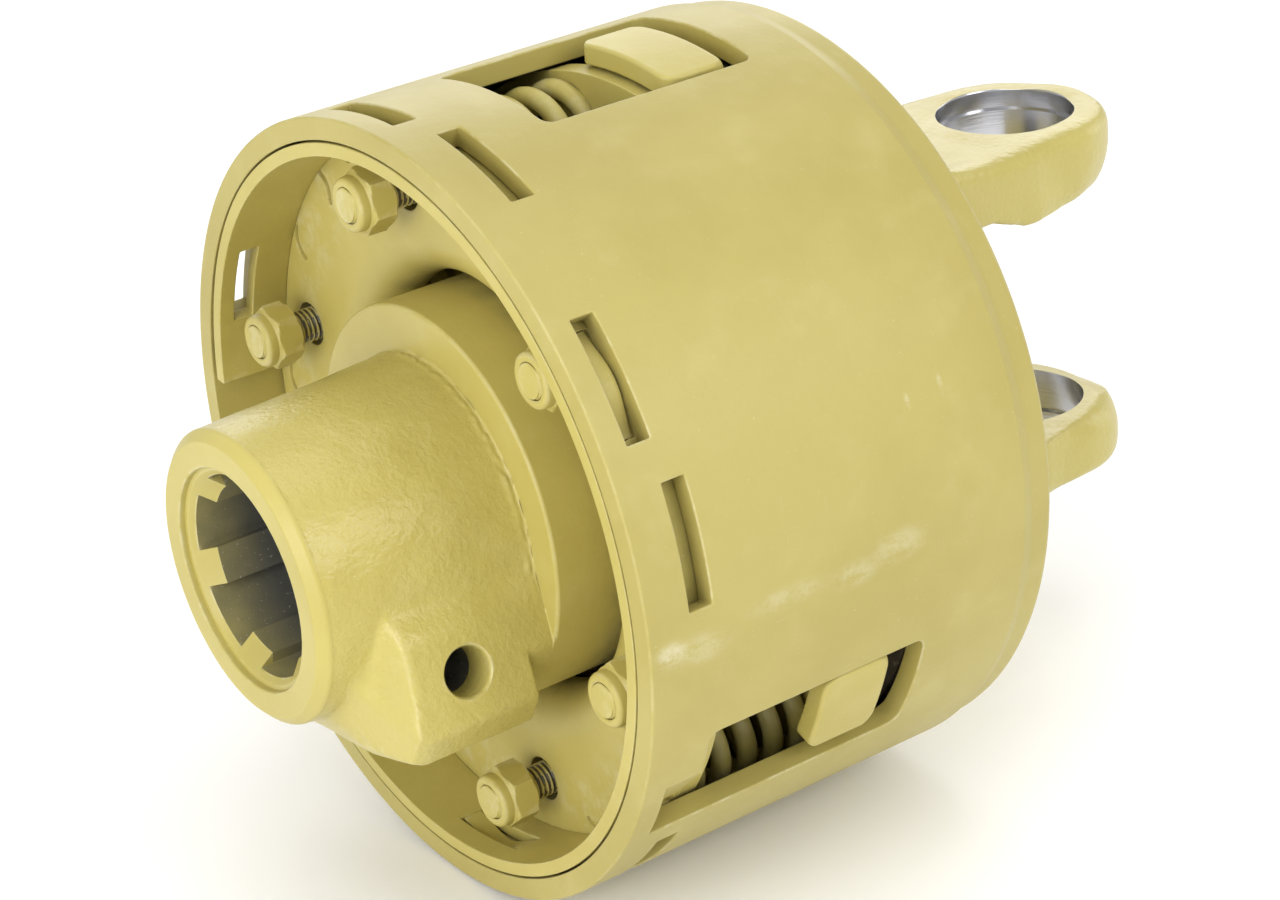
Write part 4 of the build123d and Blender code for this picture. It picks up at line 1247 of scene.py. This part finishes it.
    # Clamp bolt hole across the boss, with the bore material's dark steel deep inside as painted shade
    tool = Shape()
    across, down = math.radians(BOSS_ANGLE), math.radians(BOSS_ANGLE + 90)
    rims = [(BOSS_HALF + 3, BOLT_RADIUS + 3.4), (BOSS_HALF - 0.35, BOLT_RADIUS + 0.25)]
    rims += [(BOSS_HALF - 0.9, BOLT_RADIUS), (BOSS_HALF - 9.0, BOLT_RADIUS)]
    tool_loops = []
    for along, r in [(-along, r) for along, r in rims] + rims[::-1]:
        spots = []
        for t in np.radians(columns(64)):
            out = BOLT_OUT + r * math.sin(t)
            y = along * math.cos(across) + out * math.cos(down)
            z = along * math.sin(across) + out * math.sin(down)
            spots.append((HUB_FACE + BOLT_SETBACK + r * math.cos(t), y, z))
        tool_loops.append(tool.add(spots))
    tool.tube(tool_loops, [CAST, CAST, CAST, BORE, CAST, CAST, CAST])
    mesh = cut_mesh(mesh, [clean_mesh("bolt_hole_tool", tool, materials)])
    add_piece("hub_casting", mesh, "hub", "hub", sharp=42)


# Flange yoke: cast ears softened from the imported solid, on a turned plate
EAR, EAR_INSIDE = 44.0, 26.0


def rough_ears(plate_rear):
    """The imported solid's ears, closed, with filled bores and softened edges."""
    bm = bmesh.new()
    bm.from_mesh(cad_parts["flange_yoke"].data)
    bmesh.ops.remove_doubles(bm, verts=bm.verts, dist=0.002 * MM)
    everything = bm.verts[:] + bm.edges[:] + bm.faces[:]
    place = ((plate_rear + 0.15) * MM, 0, 0)
    cut = bmesh.ops.bisect_plane(
        bm, geom=everything, plane_co=place, plane_no=(1, 0, 0), clear_inner=True
    )
    loose = [e for e in cut["geom_cut"] if isinstance(e, bmesh.types.BMEdge)]
    bmesh.ops.holes_fill(bm, edges=loose, sides=0)
    foot = (plate_rear + 0.2) * MM
    for vert in bm.verts:
        if vert.co.x < foot:
            vert.co.x = (plate_rear - 5.0) * MM
    # The bores are filled first and cut again after softening, so their rims stay crisp
    plug = (BORE_RADIUS + 1.5) * MM
    for side in (1, -1):
        bmesh.ops.create_cone(
            bm,
            cap_ends=True,
            segments=64,
            radius1=plug,
            radius2=plug,
            depth=(EAR - EAR_INSIDE - 1.0) * MM,
            matrix=Matrix.Translation((0, 0, side * (EAR + EAR_INSIDE) / 2 * MM)),
        )
    mesh = bpy.data.meshes.new("ears")
    bm.to_mesh(mesh)
    bm.free()
    ears = link(bpy.data.objects.new("ears_rough", mesh))
    voxels = ears.modifiers.new("voxels", "REMESH")
    voxels.mode = "VOXEL"
    voxels.voxel_size = 0.85 * MM
    soften = ears.modifiers.new("soften", "SMOOTH")
    soften.factor = 0.5
    soften.iterations = 14
    soft = baked(ears)
    bpy.data.objects.remove(ears)
    return soft


def shape_ears(mesh):
    """Round the ears' tips, thin the lower ear and give both the low swells of a casting."""
    count = len(mesh.vertices)
    coords = np.empty(count * 3)
    normals = np.empty(count * 3)
    mesh.vertices.foreach_get("co", coords)
    mesh.vertex_normals.foreach_get("vector", normals)
    coords = coords.reshape(-1, 3)
    normals = normals.reshape(-1, 3)
    # The tips are rounded off towards their inner sides, not the roots
    rounded = 12
    reach = np.hypot(coords[:, 0], coords[:, 1])
    height = np.clip(np.abs(coords[:, 2]) / MM - EAR_INSIDE, 0, rounded)
    limit = (24.0 - 5.5 * (1 - np.sqrt(1 - ((rounded - height) / rounded) ** 2))) * MM
    forward = np.clip((0.35 - coords[:, 0] / reach) / 0.8, 0, 1)
    pull = 1 - (1 - np.minimum(1.0, limit / reach)) * (1 - forward)
    coords[:, :2] *= np.where(reach > 15 * MM, pull, 1.0)[:, None]
    # The lower ear is a little thinner on its inner side
    inner = np.clip(1 - (np.abs(coords[:, 2]) / MM - EAR_INSIDE) / 10, 0, 1) * (coords[:, 2] < 0)
    coords[:, 2] -= 3.0 * MM * inner * np.clip((coords[:, 0] / MM + 34) / 20, 0, 1)
    swell = ripple(coords / MM, 24, 8, 21) * 0.10 * MM
    coords += normals * swell[:, None]
    mesh.vertices.foreach_set("co", coords.ravel())
    mesh.update()


def make_yoke():
    plate_rear = REAR - LIP
    soft = rough_ears(plate_rear)
    shape_ears(soft)
    soft.materials.clear()
    materials = [cast_paint, steel_bore, turned_paint]
    for material in materials:
        soft.materials.append(material)
    soft.polygons.foreach_set("material_index", [0] * len(soft.polygons))
    # Cross bore with ring grooves and turned edges
    groove_start, groove_end, wall = EAR - 5.35, EAR - 3.65, BORE_RADIUS + 1.0
    open_radius = BORE_RADIUS + 0.5
    corners = [(20.0, BORE_RADIUS), (groove_start, BORE_RADIUS), (groove_start, wall)]
    corners += [(groove_end, wall), (groove_end, BORE_RADIUS), (EAR - 0.5, BORE_RADIUS)]
    corners += [(EAR + 0.1, open_radius), (yoke_high[2] + 23.0, open_radius)]
    tools = []
    for side in (1, -1):
        tool = Shape()
        loops = []
        for height, radius in corners:
            loops.append(tool.add([(*polar(radius, a), side * height) for a in columns(96)]))
        tool.tube(loops, 1, 1)
        tools.append(clean_mesh("bore_tool", tool, materials))
    mesh = cut_mesh(soft, tools)
    # Round plate and spigot
    shape = Shape()
    spigot_front, bore = yoke_low[0], 20.0
    plate_front = spigot_front + 9.0
    spigot = bush_high[1] - 3.0
    corners = [(plate_rear, bore, 0.8), (plate_rear, YOKE_SEAT, 0.5), (plate_front, YOKE_SEAT, 0.5)]
    corners += [(plate_front, spigot, 0.3), (spigot_front, spigot, 0.8), (spigot_front, bore, 0.8)]
    shape.lathe(round_path(corners), columns(144), 2, closed=True)
    bm = bmesh.new()
    bm.from_mesh(mesh)
    bm.from_mesh(clean_mesh("yoke_plate", shape, materials))
    bm.to_mesh(mesh)
    bm.free()
    add_piece("yoke_casting", mesh, "housing", "flange_yoke", sharp=42)


make_drum()
make_ring()
make_spring_plate()
# The tabs stand against the sides of their windows
lower_play = play_angle(LOWER_WINDOW, PRESSURE_TAB, PRESSURE_PLAY)
upper_play = play_angle(UPPER_WINDOW, MIDDLE_TAB, MIDDLE_PLAY)
pressure_angles = [a - lower_play for a in (STRIP_ANGLE, PLAIN_ANGLE)]
middle_angles = [a + upper_play for a in UPPER_ANGLES]
make_tabbed_plate("pressure_ring", "pressure_plate", "pressure", PRESSURE_TAB, pressure_angles, True)
make_tabbed_plate("middle_ring", "intermediate_plate", "housing", MIDDLE_TAB, middle_angles, False)
for number, angle in enumerate(SPRING_ANGLES, start=1):
    make_spring(number, angle)
for number, angle in enumerate(STUD_ANGLES, start=1):
    make_stud(number, angle)
    make_nut(number, angle)
make_hub()
make_yoke()

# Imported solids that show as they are
as_packed = {f"friction_disc_{number}": lining_mix for number in range(1, 5)}
as_packed.update(driver_disc=plate_steel, centring_bush=bush_bronze)
for node, material in as_packed.items():
    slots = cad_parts[node].data.materials
    slots.clear()
    slots.append(material)

# Floor, light and camera
bpy.ops.mesh.primitive_plane_add(size=8.0, location=(0, 0, -SHELL * MM - 0.0005))
floor = bpy.context.object
floor.name = "studio_floor"
floor_white = Nodes("floor_white")
floor_white.shader.inputs["Specular IOR Level"].default_value = 0.1
shade = floor_white.mix(floor_white.noise(3.0, 2.0), (0.96, 0.96, 0.96, 1), (0.98, 0.98, 0.98, 1))
floor.data.materials.append(floor_white.finish(shade, 0.9))

world = bpy.data.worlds.new("studio_world")
bpy.context.scene.world = world
world.use_nodes = True
sky = world.node_tree.nodes["Background"]
sky.inputs["Color"].default_value = (1, 1, 1, 1)
sky.inputs["Strength"].default_value = 0.64


def softbox(name, location, target, size, power):
    """Large rectangular area light aimed at a point; lengths in metres."""
    light = bpy.data.lights.new(name, "AREA")
    light.shape = "RECTANGLE"
    light.size, light.size_y = size
    light.energy = power
    obj = link(bpy.data.objects.new(name, light))
    way = Vector(target) - Vector(location)
    obj.location = location
    obj.rotation_euler = way.to_track_quat("-Z", "Y").to_euler()


softbox("key_box", (-0.75, -0.55, 0.95), (-0.1, 0, 0), (0.7, 0.7), 2.6)
softbox("top_box", (0.05, -0.1, 1.05), (-0.08, 0, 0), (0.9, 0.6), 2.3)
softbox("side_box", (0.18, -1.02, 0.59), (-0.14, 0, 0), (0.42, 0.36), 3.6)
softbox("back_box", (0.75, 1.2, 0.65), (-0.08, 0, 0), (1.5, 0.9), 10.0)
softbox("rear_box", (1.3, -0.15, 0.2), (0, 0, 0), (0.6, 0.8), 2.5)
softbox("front_box", (-1.15, -0.40, 0.32), (-0.16, 0, 0), (0.8, 0.6), 7.2)

CAMERA_PLACE = (-0.474140, -0.542781, 0.292225)
CAMERA_RIGHT = (0.80456841, -0.58696718, -0.09021758)
CAMERA_UP = (0.31175348, 0.28816416, 0.90541216)
camera_data = bpy.data.cameras.new("photo_camera")
camera_data.lens = 90.525
camera_data.sensor_width = 36.0
camera = link(bpy.data.objects.new("photo_camera", camera_data))
right, up = Vector(CAMERA_RIGHT).normalized(), Vector(CAMERA_UP).normalized()
back = right.cross(up).normalized()
turn = Matrix((right, up, back)).transposed().to_4x4()
camera.matrix_world = Matrix.Translation(CAMERA_PLACE) @ turn
bpy.context.scene.camera = camera
bpy.context.scene.view_settings.view_transform = "Standard"
